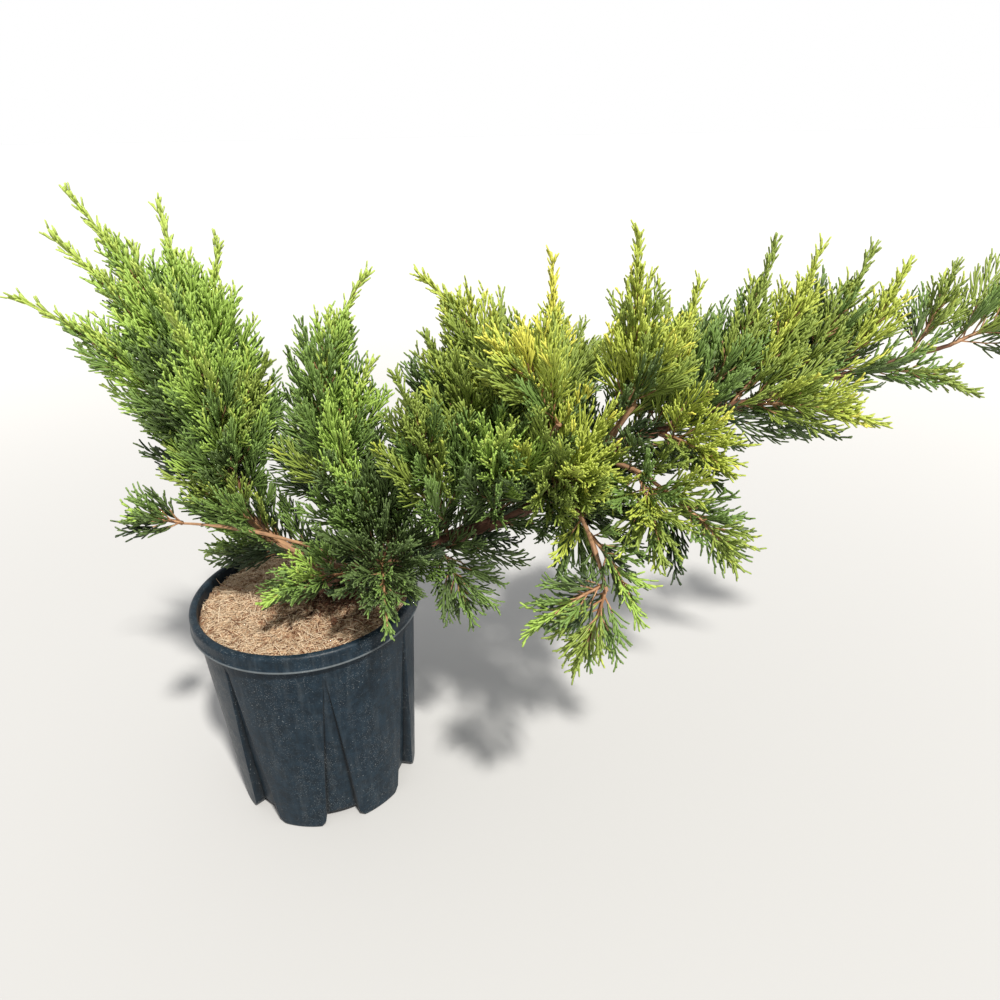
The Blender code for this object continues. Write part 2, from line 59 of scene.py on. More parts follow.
# The limbs and masses, by the same rows as in the part's source
TRUNK_LINE = (
    (0.042, 0.000, 0.2913),
    (0.050, 0.000, 0.315),
    (0.085, 0.000, 0.335),
    (0.150, 0.000, 0.357),
    (0.220, 0.000, 0.387),
    (0.300, 0.000, 0.424),
    (0.360, 0.000, 0.466),
    (0.430, 0.000, 0.510),
    (0.530, 0.010, 0.543),
    (0.670, 0.030, 0.575),
    (0.815, 0.051, 0.607),
)
Bough = namedtuple("Bough", "name limb at bearing rise length bow width tip_width")
BOUGHS = (
    Bough("left_bough", "trunk", 0.045, -178, 60, 0.260, -0.20, 0.0080, 0.0042),
    Bough("low_left_bough", "trunk", 0.070, -156, 29, 0.225, 0.05, 0.0026, 0.0016),
    Bough("inner_bough", "trunk", 0.085, -171, 79, 0.140, -0.05, 0.0042, 0.0028),
    Bough("upper_bough_1", "trunk", 0.270, 26, 77, 0.120, 0.03, 0.0056, 0.0034),
    Bough("upper_bough_2", "trunk", 0.350, -51, 65, 0.130, 0.05, 0.0050, 0.0032),
    Bough("upper_bough_3", "trunk", 0.460, -6, 57, 0.090, 0.00, 0.0050, 0.0032),
    Bough("hanging_bough", "trunk", 0.400, -79, -10, 0.185, 0.12, 0.0036, 0.0022),
    Bough("front_bough", "trunk", 0.480, -57, -5, 0.130, 0.08, 0.0034, 0.0022),
    Bough("back_bough_1", "trunk", 0.140, 118, 21, 0.145, 0.05, 0.0052, 0.0032),
    Bough("back_bough_2", "trunk", 0.300, 73, 31, 0.135, 0.05, 0.0052, 0.0032),
)
# The last word is the mass's tone: how light and how yellow its sprays are. The dark tone paints shade
# on the masses under and behind the crown
Mass = namedtuple("Mass", "name limb at bearing rise length bow reach tone")
MASSES = (
    Mass("left_plume_1", "left_bough", 1.00, 175, 65, 0.270, 0.05, 0.081, "fresh"),
    Mass("left_plume_2", "left_bough", 0.92, -166, 62, 0.255, 0.06, 0.078, "fresh"),
    Mass("left_plume_3", "left_bough", 0.80, -159, 52, 0.260, 0.07, 0.081, "fresh"),
    Mass("left_plume_4", "left_bough", 0.95, 124, 74, 0.245, 0.05, 0.090, "fresh"),
    Mass("left_plume_5", "left_bough", 0.86, 43, 80, 0.230, 0.03, 0.101, "fresh"),
    Mass("left_plume_6", "left_bough", 0.68, -14, 64, 0.175, 0.05, 0.090, "olive"),
    Mass("left_plume_7", "left_bough", 0.60, 168, 50, 0.190, 0.05, 0.077, "fresh"),
    Mass("left_plume_8", "left_bough", 0.78, 109, 59, 0.255, 0.05, 0.106, "fresh"),
    Mass("left_plume_9", "left_bough", 0.56, -94, 71, 0.295, 0.06, 0.101, "fresh"),
    Mass("left_spray", "left_bough", 0.32, -155, 47, 0.160, 0.05, 0.084, "olive"),
    Mass("base_spray", "left_bough", 0.24, 165, -7, 0.130, 0.08, 0.076, "cool"),
    Mass("low_left_spray", "low_left_bough", 1.00, -150, 20, 0.055, 0.05, 0.050, "cool"),
    Mass("inner_plume_1", "inner_bough", 1.00, 8, 76, 0.235, 0.12, 0.087, "fresh"),
    Mass("inner_plume_2", "inner_bough", 0.75, -11, 72, 0.175, 0.05, 0.095, "fresh"),
    Mass("inner_spray", "trunk", 0.125, -126, 60, 0.190, 0.05, 0.105, "cool"),
    Mass("pot_spray_1", "trunk", 0.06, -131, 10, 0.135, 0.10, 0.081, "cool"),
    Mass("pot_spray_2", "trunk", 0.105, -80, 6, 0.180, 0.18, 0.112, "dark"),
    Mass("upper_plume_1", "upper_bough_1", 1.00, 170, 65, 0.205, 0.14, 0.095, "yellow"),
    Mass("upper_plume_2", "upper_bough_1", 0.50, -157, 70, 0.195, 0.05, 0.120, "olive"),
    Mass("upper_plume_3", "upper_bough_2", 1.00, -163, 52, 0.135, 0.05, 0.092, "gold"),
    Mass("upper_plume_4", "trunk", 0.385, 84, 80, 0.275, -0.03, 0.087, "gold"),
    Mass("upper_plume_5", "upper_bough_3", 1.00, 128, 87, 0.195, 0.00, 0.067, "yellow"),
    Mass("upper_plume_6", "upper_bough_3", 0.66, -20, 63, 0.135, 0.05, 0.092, "yellow"),
    Mass("upper_plume_7", "trunk", 0.535, 34, 64, 0.190, -0.05, 0.073, "yellow"),
    Mass("upper_plume_8", "trunk", 0.61, 25, 63, 0.220, -0.08, 0.078, "olive"),
    Mass("upper_plume_9", "trunk", 0.67, 21, 60, 0.205, -0.08, 0.076, "yellow"),
    Mass("upper_plume_10", "trunk", 0.73, 16, 56, 0.195, -0.08, 0.073, "olive"),
    Mass("upper_plume_11", "trunk", 0.81, 14, 57, 0.155, -0.08, 0.064, "yellow"),
    Mass("upper_plume_12", "trunk", 0.94, 35, 58, 0.115, -0.06, 0.064, "olive"),
    Mass("end_plume", "trunk", 1.00, 5, 24, 0.105, 0.00, 0.109, "olive"),
    Mass("end_spray", "trunk", 0.855, -21, -6, 0.130, 0.10, 0.053, "olive"),
    Mass("low_right_spray_1", "trunk", 0.69, -32, 1, 0.150, 0.06, 0.078, "yellow"),
    Mass("low_right_spray_2", "trunk", 0.565, -66, -1, 0.130, 0.05, 0.092, "yellow"),
    Mass("front_spray_1", "front_bough", 1.00, -49, -30, 0.085, 0.10, 0.060, "olive"),
    Mass("front_spray_2", "front_bough", 0.40, -85, -21, 0.130, 0.06, 0.095, "olive"),
    Mass("front_spray_3", "trunk", 0.365, -69, 33, 0.200, 0.05, 0.129, "yellow"),
    Mass("front_spray_4", "trunk", 0.215, -111, 67, 0.265, 0.05, 0.118, "olive"),
    Mass("front_spray_5", "trunk", 0.29, -82, 54, 0.200, 0.05, 0.112, "fresh"),
    Mass("hanging_spray_1", "hanging_bough", 1.00, -136, -58, 0.090, -0.05, 0.064, "olive"),
    Mass("hanging_spray_2", "hanging_bough", 0.96, -166, -29, 0.095, 0.05, 0.053, "cool"),
    Mass("hanging_spray_3", "hanging_bough", 0.60, -61, -32, 0.110, 0.08, 0.053, "cool"),
    Mass("under_spray", "trunk", 0.195, -58, -42, 0.100, 0.10, 0.078, "dark"),
    Mass("back_plume_1", "back_bough_1", 0.90, 153, 14, 0.145, 0.05, 0.126, "olive"),
    Mass("back_plume_2", "back_bough_2", 0.60, 100, 33, 0.225, 0.05, 0.126, "olive"),
    Mass("back_plume_3", "back_bough_2", 1.00, 44, 29, 0.190, 0.05, 0.123, "olive"),
    Mass("back_plume_4", "trunk", 0.56, 61, 17, 0.275, 0.05, 0.112, "olive"),
    Mass("back_plume_5", "trunk", 0.765, 61, 17, 0.195, 0.05, 0.101, "dark"),
)
TRUNK_WIDTH = 0.0130
TRUNK_TIP_WIDTH = 0.0022
TRUNK_TAPER = 1.3
FLARE = 0.010
FLARE_HEIGHT = 0.012
TRUNK_SIDES = 8
TRUNK_RINGS = 18
BOUGH_SIDES = 6
BOUGH_RINGS = 6
SEAT_GAP = 0.0003

# Foliage colours, from the shade inside the crown to the sunlit tips
SHADES = ("deep", "dark", "green", "fresh", "lime", "olive", "yellow", "gold")
TONES = {
    "dark": ("deep", "dark", "dark", "green"),
    "cool": ("deep", "dark", "green", "fresh"),
    "fresh": ("dark", "green", "fresh", "lime"),
    "olive": ("dark", "green", "olive", "olive"),
    "yellow": ("dark", "olive", "yellow", "yellow"),
    "gold": ("green", "olive", "yellow", "gold"),
}
MOST_TRIANGLES = 190000
# From where to where short shoots stand on a limb, and how far apart: shares of its length, metres
SHOOTS_ON = {
    "trunk": (0.04, 0.82, 0.0060),
    "left_bough": (0.05, 0.97, 0.0080),
    "low_left_bough": (0, 0, 0.01),
    "inner_bough": (0.05, 0.97, 0.0060),
    "hanging_bough": (0.00, 0.46, 0.0030),
}
SHOOTS_ON_OTHERS = (0.22, 0.97, 0.010)


class PotSettings(bpy.types.PropertyGroup):
    """The nursery pot."""

    height: FloatProperty(
        name="Height", description="Underside to the top of the rim", default=0.303, unit="LENGTH"
    )
    rim_radius: FloatProperty(
        name="Rim radius", description="Outside of the rolled rim", default=0.150, unit="LENGTH"
    )
    rim_inner: FloatProperty(
        name="Rim inner radius", description="Inside of the rim", default=0.138, unit="LENGTH"
    )
    rim_depth: FloatProperty(
        name="Rim depth", description="Height of the rolled rim", default=0.0216, unit="LENGTH"
    )
    wall_top: FloatProperty(
        name="Wall top radius", description="Just under the rim", default=0.142, unit="LENGTH"
    )
    panel_foot: FloatProperty(
        name="Panel foot radius", description="A panel's foot", default=0.1255, unit="LENGTH"
    )
    wall_foot: FloatProperty(
        name="Groove foot radius", description="A groove's foot", default=0.113, unit="LENGTH"
    )
    feet: IntProperty(name="Feet", description="Panels between grooves", default=7, min=3)
    notch: FloatProperty(
        name="Notch", description="Height of the gaps between feet", default=0.012, unit="LENGTH"
    )
    colour: FloatVectorProperty(
        name="Plastic", description="Clean plastic", default=(0.0088, 0.0180, 0.0275), subtype="COLOR"
    )
    dust: FloatVectorProperty(
        name="Dust", description="Dust and scuffs", default=(0.34, 0.37, 0.38), subtype="COLOR"
    )


class MulchSettings(bpy.types.PropertyGroup):
    """The mulch on top of the soil."""

    top: FloatProperty(
        name="Top", description="Height of the mulch's surface", default=0.291, unit="LENGTH"
    )
    fibres: IntProperty(name="Fibres", description="Loose fibres on top", default=10500, min=0)
    chips: IntProperty(name="Chips", description="Bark chips round the foot", default=420, min=0)
    straw: FloatVectorProperty(
        name="Straw", description="Palest fibres", default=(0.72, 0.57, 0.40), subtype="COLOR"
    )
    tan: FloatVectorProperty(
        name="Tan", description="Most fibres", default=(0.55, 0.38, 0.235), subtype="COLOR"
    )
    rust: FloatVectorProperty(
        name="Rust", description="Chips and rotted bits", default=(0.17, 0.07, 0.03), subtype="COLOR"
    )


class BarkSettings(bpy.types.PropertyGroup):
    """The bark of trunk, boughs and twigs."""

    relief: FloatProperty(
        name="Relief", description="Depth of the peeling strips", default=0.0011, unit="LENGTH"
    )
    strip: FloatVectorProperty(
        name="Strip", description="Outer bark", default=(0.110, 0.043, 0.022), subtype="COLOR"
    )
    crevice: FloatVectorProperty(
        name="Crevice", description="Between strips", default=(0.050, 0.020, 0.011), subtype="COLOR"
    )
    patch: FloatVectorProperty(
        name="Patch", description="Weathered bark", default=(0.165, 0.082, 0.047), subtype="COLOR"
    )
    young: FloatVectorProperty(
        name="Young", description="Bark of the boughs", default=(0.31, 0.175, 0.095), subtype="COLOR"
    )
    twig: FloatVectorProperty(
        name="Twig", description="Young twigs", default=(0.44, 0.25, 0.13), subtype="COLOR"
    )


class FoliageSettings(bpy.types.PropertyGroup):
    """The sprays of scale leaves."""

    seed: IntProperty(name="Seed", description="Of the sprays' growth", default=11)
    shoot_pitch: FloatProperty(
        name="Shoot pitch", description="Between side shoots", default=0.0064, unit="LENGTH"
    )
    branchlet_pitch: FloatProperty(
        name="Branchlet pitch", description="Between branchlets", default=0.0063, unit="LENGTH"
    )
    twiglet_pitch: FloatProperty(
        name="Twiglet pitch", description="Between twiglets", default=0.0090, unit="LENGTH"
    )
    cord: FloatProperty(
        name="Cord", description="Half width of a leafy branchlet", default=0.00138, unit="LENGTH"
    )
    deep: FloatVectorProperty(
        name="Deep", description="Inside the crown", default=(0.030, 0.052, 0.018), subtype="COLOR"
    )
    dark: FloatVectorProperty(
        name="Dark", description="Shaded sprays", default=(0.092, 0.142, 0.041), subtype="COLOR"
    )
    green: FloatVectorProperty(
        name="Green", description="Half-lit sprays", default=(0.152, 0.244, 0.056), subtype="COLOR"
    )
    fresh: FloatVectorProperty(
        name="Fresh", description="Green sprays", default=(0.310, 0.455, 0.085), subtype="COLOR"
    )
    lime: FloatVectorProperty(
        name="Lime", description="Sunlit green sprays", default=(0.400, 0.510, 0.098), subtype="COLOR"
    )
    olive: FloatVectorProperty(
        name="Olive", description="Olive sprays", default=(0.240, 0.315, 0.058), subtype="COLOR"
    )
    yellow: FloatVectorProperty(
        name="Yellow", description="Yellow-green sprays", default=(0.405, 0.475, 0.074), subtype="COLOR"
    )
    gold: FloatVectorProperty(
        name="Gold", description="Golden tips", default=(0.600, 0.590, 0.090), subtype="COLOR"
    )


class StageSettings(bpy.types.PropertyGroup):
    """Floor, light and camera."""

    camera_place: FloatVectorProperty(
        name="Camera", description="Where it stands", default=(0.262, -0.861, 0.857), unit="LENGTH"
    )
    camera_fall: FloatProperty(
        name="Fall", description="How far it looks down", default=radians(26.28), subtype="ANGLE"
    )
    camera_roll: FloatProperty(
        name="Roll", description="Turn about its axis", default=radians(-1.0), subtype="ANGLE"
    )
    lens: FloatProperty(name="Lens", description="Focal length, mm", default=27.36)
    sun: FloatProperty(name="Key light", description="Strength, W per square metre", default=5.3)
    sky: FloatProperty(name="Sky", description="Strength of the even light", default=0.70)


def unit(vectors):
    return vectors / np.linalg.norm(vectors, axis=-1, keepdims=True)


def dot(a, b):
    return (a * b).sum(-1, keepdims=True)


def waves(points, count, shortest, longest, chance):
    """Smooth noise from -1 to 1 or so: a sum of plane waves with random directions, lengths and
    phases, divided by the square root of half their number."""
    ways = unit(chance.normal(size=(count, points.shape[-1])))
    lengths = np.exp(chance.uniform(np.log(shortest), np.log(longest), count))
    phases = chance.uniform(0, 2 * pi, count)
    turns = points @ (ways * (2 * pi / lengths)[:, None]).T + phases
    return np.cos(turns).sum(-1) / (count / 2) ** 0.5


def smooth_line(stations, shares):
    """Points at these shares of the length of a Catmull-Rom curve through the stations."""
    points = np.array(stations, float)
    steps = np.linalg.norm(np.diff(points, axis=0), axis=1)
    lengths = np.r_[0, np.cumsum(steps)]
    ends = np.vstack([2 * points[0] - points[1], points, 2 * points[-1] - points[-2]])
    wanted = np.asarray(shares) * lengths[-1]
    span = np.clip(np.searchsorted(lengths, wanted, side="right") - 1, 0, len(steps) - 1)
    u = ((wanted - lengths[span]) / steps[span])[:, None]
    a, b, c, d = (ends[span + i] for i in range(4))
    cubic = (3 * b - 3 * c + d - a) * u**3
    return 0.5 * (2 * b + (c - a) * u + (2 * a - 5 * b + 4 * c - d) * u**2 + cubic)


def chord_of(row):
    """The way a row's limb runs, and the way its middle bows."""
    turn, tilt = radians(row.bearing), radians(row.rise)
    flat = np.array([cos(turn), sin(turn), 0])
    return cos(tilt) * flat + sin(tilt) * UP, -sin(tilt) * flat + cos(tilt) * UP


def arc(start, row, count):
    """A shallow arc: a straight chord plus a parabola that lifts its middle by the bow."""
    chord, lift = chord_of(row)
    t = np.linspace(0, 1, count)[:, None]
    return start + row.length * (t * chord + row.bow * 4 * t * (1 - t) * lift)


class Limb:
    """A limb as the source lays it out, which says where the next one stands on it."""

    def __init__(self, path, widths, sides, foot):
        self.path, self.widths, self.sides, self.foot = path, widths, sides, foot
        steps = np.diff(path, axis=0)
        lengths = np.linalg.norm(steps, axis=1)
        self.shares = np.r_[0, np.cumsum(lengths)] / lengths.sum()
        along = steps / lengths[:, None]
        normals = [foot, *unit(along[:-1] + along[1:]), along[-1]]
        across = [unit(np.cross(foot, [0, 1, 0] if abs(foot[1]) < 0.9 else [1, 0, 0]))]
        for normal in normals[1:]:
            across.append(unit(across[-1] - (across[-1] @ normal) * normal))
        self.across = across

    def seat(self, share, heading):
        """Where a limb that heads this way stands, a gap off the nearest flat, and its normal."""
        k = min(np.searchsorted(self.shares, share, side="right"), len(self.shares) - 1) - 1
        u = (share - self.shares[k]) / (self.shares[k + 1] - self.shares[k])
        point = (1 - u) * self.path[k] + u * self.path[k + 1]
        along = unit(self.path[k + 1] - self.path[k])
        if share == 1:
            return point + SEAT_GAP * along, along
        side = (1 - u) * self.across[k] + u * self.across[k + 1]
        side = unit(side - (side @ along) * along)
        other = np.cross(along, side)
        step = 2 * pi / self.sides
        turn = (np.floor(np.arctan2(heading @ other, heading @ side) / step) + 0.5) * step
        normal = np.cos(turn) * side + np.sin(turn) * other
        width = (1 - u) * self.widths[k] + u * self.widths[k + 1]
        return point + (width * cos(pi / self.sides) + SEAT_GAP) * normal, normal


def trunk_widths(shares, path):
    """Half widths: an even taper to the tip, and a flare that dies away above the soil."""
    height = path[:, 2] - path[0, 2]
    taper = TRUNK_TIP_WIDTH + (TRUNK_WIDTH - TRUNK_TIP_WIDTH) * (1 - shares) ** TRUNK_TAPER
    return taper + FLARE * np.exp(-height / FLARE_HEIGHT)


def all_limbs():
    """Every limb by name, laid out by the source's rule."""
    shares = np.linspace(0, 1, TRUNK_RINGS) ** 1.5
    path = smooth_line(TRUNK_LINE, shares)
    limbs = {"trunk": Limb(path, trunk_widths(shares, path), TRUNK_SIDES, UP)}
    for row in BOUGHS:
        start, normal = limbs[row.limb].seat(row.at, chord_of(row)[0])
        widths = np.linspace(row.width, row.tip_width, BOUGH_RINGS)
        limbs[row.name] = Limb(arc(start, row, BOUGH_RINGS), widths, BOUGH_SIDES, normal)
    return limbs


def closed_faces(rings, columns):
    """Triangles of a closed surface whose points are a pole, rings one after another, and a pole."""
    ring = 1 + np.arange(rings)[:, None] * columns + np.arange(columns)
    after = np.roll(ring, -1, axis=1)
    low, low_after, high, high_after = ring[:-1], after[:-1], ring[1:], after[1:]
    band = np.stack([[low, low_after, high_after], [low, high_after, high]], 0)
    band = np.moveaxis(band, 1, -1).reshape(-1, 3)
    foot = np.stack([np.zeros(columns, int), after[0], ring[0]], -1)
    top = np.stack([ring[-1], after[-1], np.full(columns, 1 + rings * columns)], -1)
    return np.vstack([foot, band, top])


def closed_points(pole, rings, far_pole):
    return np.vstack([pole, np.asarray(rings).reshape(-1, 3), far_pole])


def make_piece(name, points, faces, finish, slot, replaced=()):
    """An object from arrays of points and triangles, that rides on the part's one body."""
    data = bpy.data.meshes.new(name)
    data.vertices.add(len(points))
    data.vertices.foreach_set("co", np.asarray(points, np.float32).ravel())
    data.loops.add(faces.size)
    data.loops.foreach_set("vertex_index", faces.astype(np.int32).ravel())
    data.polygons.add(len(faces))
    data.polygons.foreach_set("loop_start", np.arange(0, faces.size, 3, dtype=np.int32))
    data.polygons.foreach_set("use_smooth", np.ones(len(faces), bool))
    data.update(calc_edges=True)
    if data.validate():
        raise RuntimeError(f"{name} has faulty faces")
    data.materials.append(finish)
    piece = bpy.data.objects.new(name, data)
    bpy.context.scene.collection.objects.link(piece)
    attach(piece, "root")
    if replaced:
        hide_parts(*replaced)
    return piece


class Value:
    """A number that varies over a surface. Arithmetic on it adds Math nodes."""

    def __init__(self, finish, socket):
        self.finish, self.socket = finish, socket

    def math(self, operation, *others):
        values = {i: other for i, other in enumerate((self, *others))}
        return self.finish.node("ShaderNodeMath", {"operation": operation}, values)

    def __add__(self, other):
        return self.math("ADD", other)

    def __mul__(self, other):
        return self.math("MULTIPLY", other)

    def __sub__(self, other):
        return self.math("SUBTRACT", other)

    def __rsub__(self, other):
        values = {0: other, 1: self}
        return self.finish.node("ShaderNodeMath", {"operation": "SUBTRACT"}, values)

    __radd__ = __add__
    __rmul__ = __mul__

    def ramp(self, low, high):
        """0 below low, 1 above high, and smooth between."""
        settings = {"interpolation_type": "SMOOTHSTEP"}
        values = {"Value": self, "From Min": low, "From Max": high}
        return self.finish.node("ShaderNodeMapRange", settings, values)


class Finish:
    """A material, and the nodes that its pattern is made of."""

    def __init__(self, name, **sockets):
        self.material = bpy.data.materials.new(name)
        self.material.use_nodes = True
        self.tree = self.material.node_tree
        self.shader = self.tree.nodes["Principled BSDF"]
        self.set(self.shader, sockets)

    def set(self, node, values):
        for name, value in values.items():
            if isinstance(value, Value):
                self.tree.links.new(value.socket, node.inputs[name])
            else:
                node.inputs[name].default_value = value

    def node(self, kind, settings=None, values=None, output=0):
        """Any node, by its type, its settings and the values or links of its sockets."""
        made = self.tree.nodes.new(kind)
        for name, value in (settings or {}).items():
            setattr(made, name, value)
        self.set(made, values or {})
        return Value(self, made.outputs[output])

    def place(self):
        return self.node("ShaderNodeTexCoord", output="Object")

    def stretched(self, vector, scale):
        return self.node("ShaderNodeMapping", values={"Vector": vector, "Scale": scale})

    def noise(self, vector, scale, detail=3.0, roughness=0.5):
        values = {"Vector": vector, "Scale": scale, "Detail": detail, "Roughness": roughness}
        return self.node("ShaderNodeTexNoise", values=values)

    def cells(self, vector, scale, output="Distance"):
        values = {"Vector": vector, "Scale": scale}
        return self.node("ShaderNodeTexVoronoi", values=values, output=output)

    def blend(self, factor, first, second):
        """A colour between two, by a factor."""
        made = self.tree.nodes.new("ShaderNodeMix")
        made.data_type = "RGBA"
        named = {s.identifier: i for i, s in enumerate(made.inputs)}
        values = {"Factor_Float": factor, "A_Color": first, "B_Color": second}
        self.set(made, {named[name]: value for name, value in values.items()})
        return Value(self, next(s for s in made.outputs if s.identifier == "Result_Color"))

    def bump(self, height, distance, strength=1.0):
        values = {"Height": height, "Distance": distance, "Strength": strength}
        self.set(self.shader, {"Normal": self.node("ShaderNodeBump", values=values)})


def rgba(colour):
    return (*colour, 1.0)


def plastic_finish(settings):
    """Semi-gloss blue-black plastic, mottled, with dust that gathers in specks and in streaks, and
    scuffs, a pale line along the bead of the rim, and painted shade along the grooves' edges."""
    finish = Finish("pot_plastic_finish", **{"Specular IOR Level": 0.15})
    place = finish.place()
    height = finish.node("ShaderNodeSeparateXYZ", values={"Vector": place}, output="Z")
    # A pale line along the bead at the rim's lower edge
    bead = height.ramp(0.2816, 0.2822) * (1 - height.ramp(0.2836, 0.2846))
    clouds = finish.noise(place, 9.0, 4.0, 0.6).ramp(0.38, 0.70)
    specks = (1 - finish.cells(place, 250.0).ramp(0.05, 0.20)) * clouds
    specks = specks * finish.cells(place, 250.0, "Color").ramp(0.45, 0.75)
    fine = (1 - finish.cells(place, 480.0).ramp(0.10, 0.28)) * finish.noise(place, 26.0).ramp(0.40, 0.62)
    scuffs = finish.noise(finish.stretched(place, (9.0, 9.0, 55.0)), 9.0, 5.0, 0.7).ramp(0.62, 0.72)
    streaks = finish.noise(finish.stretched(place, (7.0, 7.0, 0.7)), 16.0, 5.0, 0.7).ramp(0.45, 0.80)
    mottle = finish.noise(place, 85.0, 5.0, 0.75).ramp(0.33, 0.67)
    pale_marks = specks * 0.80 + fine * 0.36 + scuffs * 0.16 + streaks * 0.06 + bead * 0.26
    dark = rgba([0.66 * c for c in settings.colour])
    plastic = finish.blend(mottle, dark, rgba([1.30 * c for c in settings.colour]))
    # Painted shade: the plastic darkens to near black along the grooves' edges, where the point
    # attribute is set
    painted_shade = finish.node("ShaderNodeAttribute", {"attribute_name": "painted_shade"}, output="Fac")
    plastic = finish.blend(painted_shade * 0.85, plastic, rgba([0.15 * c for c in settings.colour]))
    finish.set(finish.shader, {
        "Base Color": finish.blend(pale_marks, plastic, rgba(settings.dust)),
        "Roughness": 0.34 + mottle * 0.12 + specks * 0.25,
    })
    finish.bump(finish.noise(place, 420.0, 2.0) + finish.noise(place, 16.0) * 2.0, 0.0004, 0.5)
    return finish.material


def bark_finish(name, strip, crevice, patch):
    """Fibrous bark that peels in long strips, over dark crevices. The pattern follows the
    grain attribute: round the limb in two numbers, and along it in the third."""
    finish = Finish(name, Roughness=0.85)
    grain = finish.node("ShaderNodeAttribute", {"attribute_name": "grain"}, output="Vector")
    strips = finish.noise(finish.stretched(grain, (1.0, 1.0, 0.11)), 420.0, 4.0, 0.6)
    fibres = finish.noise(finish.stretched(grain, (1.0, 1.0, 0.05)), 1500.0, 2.0, 0.6)
    patches = finish.noise(grain, 38.0, 3.0, 0.6).ramp(0.35, 0.70)
    outer = finish.blend(patches, rgba(strip), rgba(patch))
    raised = (strips + fibres * 0.35).ramp(0.46, 0.74)
    finish.set(finish.shader, {"Base Color": finish.blend(raised, rgba(crevice), outer)})
    finish.bump(strips + fibres * 0.4, 0.0012, 0.8)
    return finish.material


def twig_finish(settings):
    """Smooth orange-brown young bark, paler in patches."""
    finish = Finish("twig_finish", Roughness=0.6)
    mottle = finish.noise(finish.place(), 130.0, 2.0).ramp(0.35, 0.65)
    finish.set(finish.shader, {
        "Base Color": finish.blend(mottle, rgba(settings.twig), (0.27, 0.13, 0.060, 1.0))
    })
    return finish.material


def fibre_finish(name, colour):
    """Dry plant fibre: plain, because each of its colours is dealt out by the strand."""
    return Finish(name, **{"Base Color": rgba(colour), "Roughness": 0.9}).material


def leaf_finish(name, colour):
    """Waxy scale leaves in one plain colour, because the shades are dealt out by the spray."""
    sockets = {"Base Color": rgba(colour), "Roughness": 0.5, "Specular IOR Level": 0.45}
    return Finish(name, **sockets).material


def bed_finish(settings):
    """The matted litter under the loose fibres."""
    finish = Finish("mulch_bed_finish", Roughness=0.95)
    place = finish.place()
    litter = finish.noise(place, 190.0, 5.0, 0.7).ramp(0.36, 0.66)
    damp = finish.noise(place, 22.0, 3.0).ramp(0.45, 0.68)
    dry = finish.blend(litter, rgba(settings.rust), rgba(settings.tan))
    finish.set(finish.shader, {"Base Color": finish.blend(damp * 0.5, dry, rgba(settings.rust))})
    finish.bump(finish.noise(place, 260.0, 5.0, 0.7), 0.003, 1.0)
    return finish.material


def gentle(value):
    """A smooth step from 0 to 1."""
    value = np.clip(value, 0, 1)
    return value * value * (3 - 2 * value)


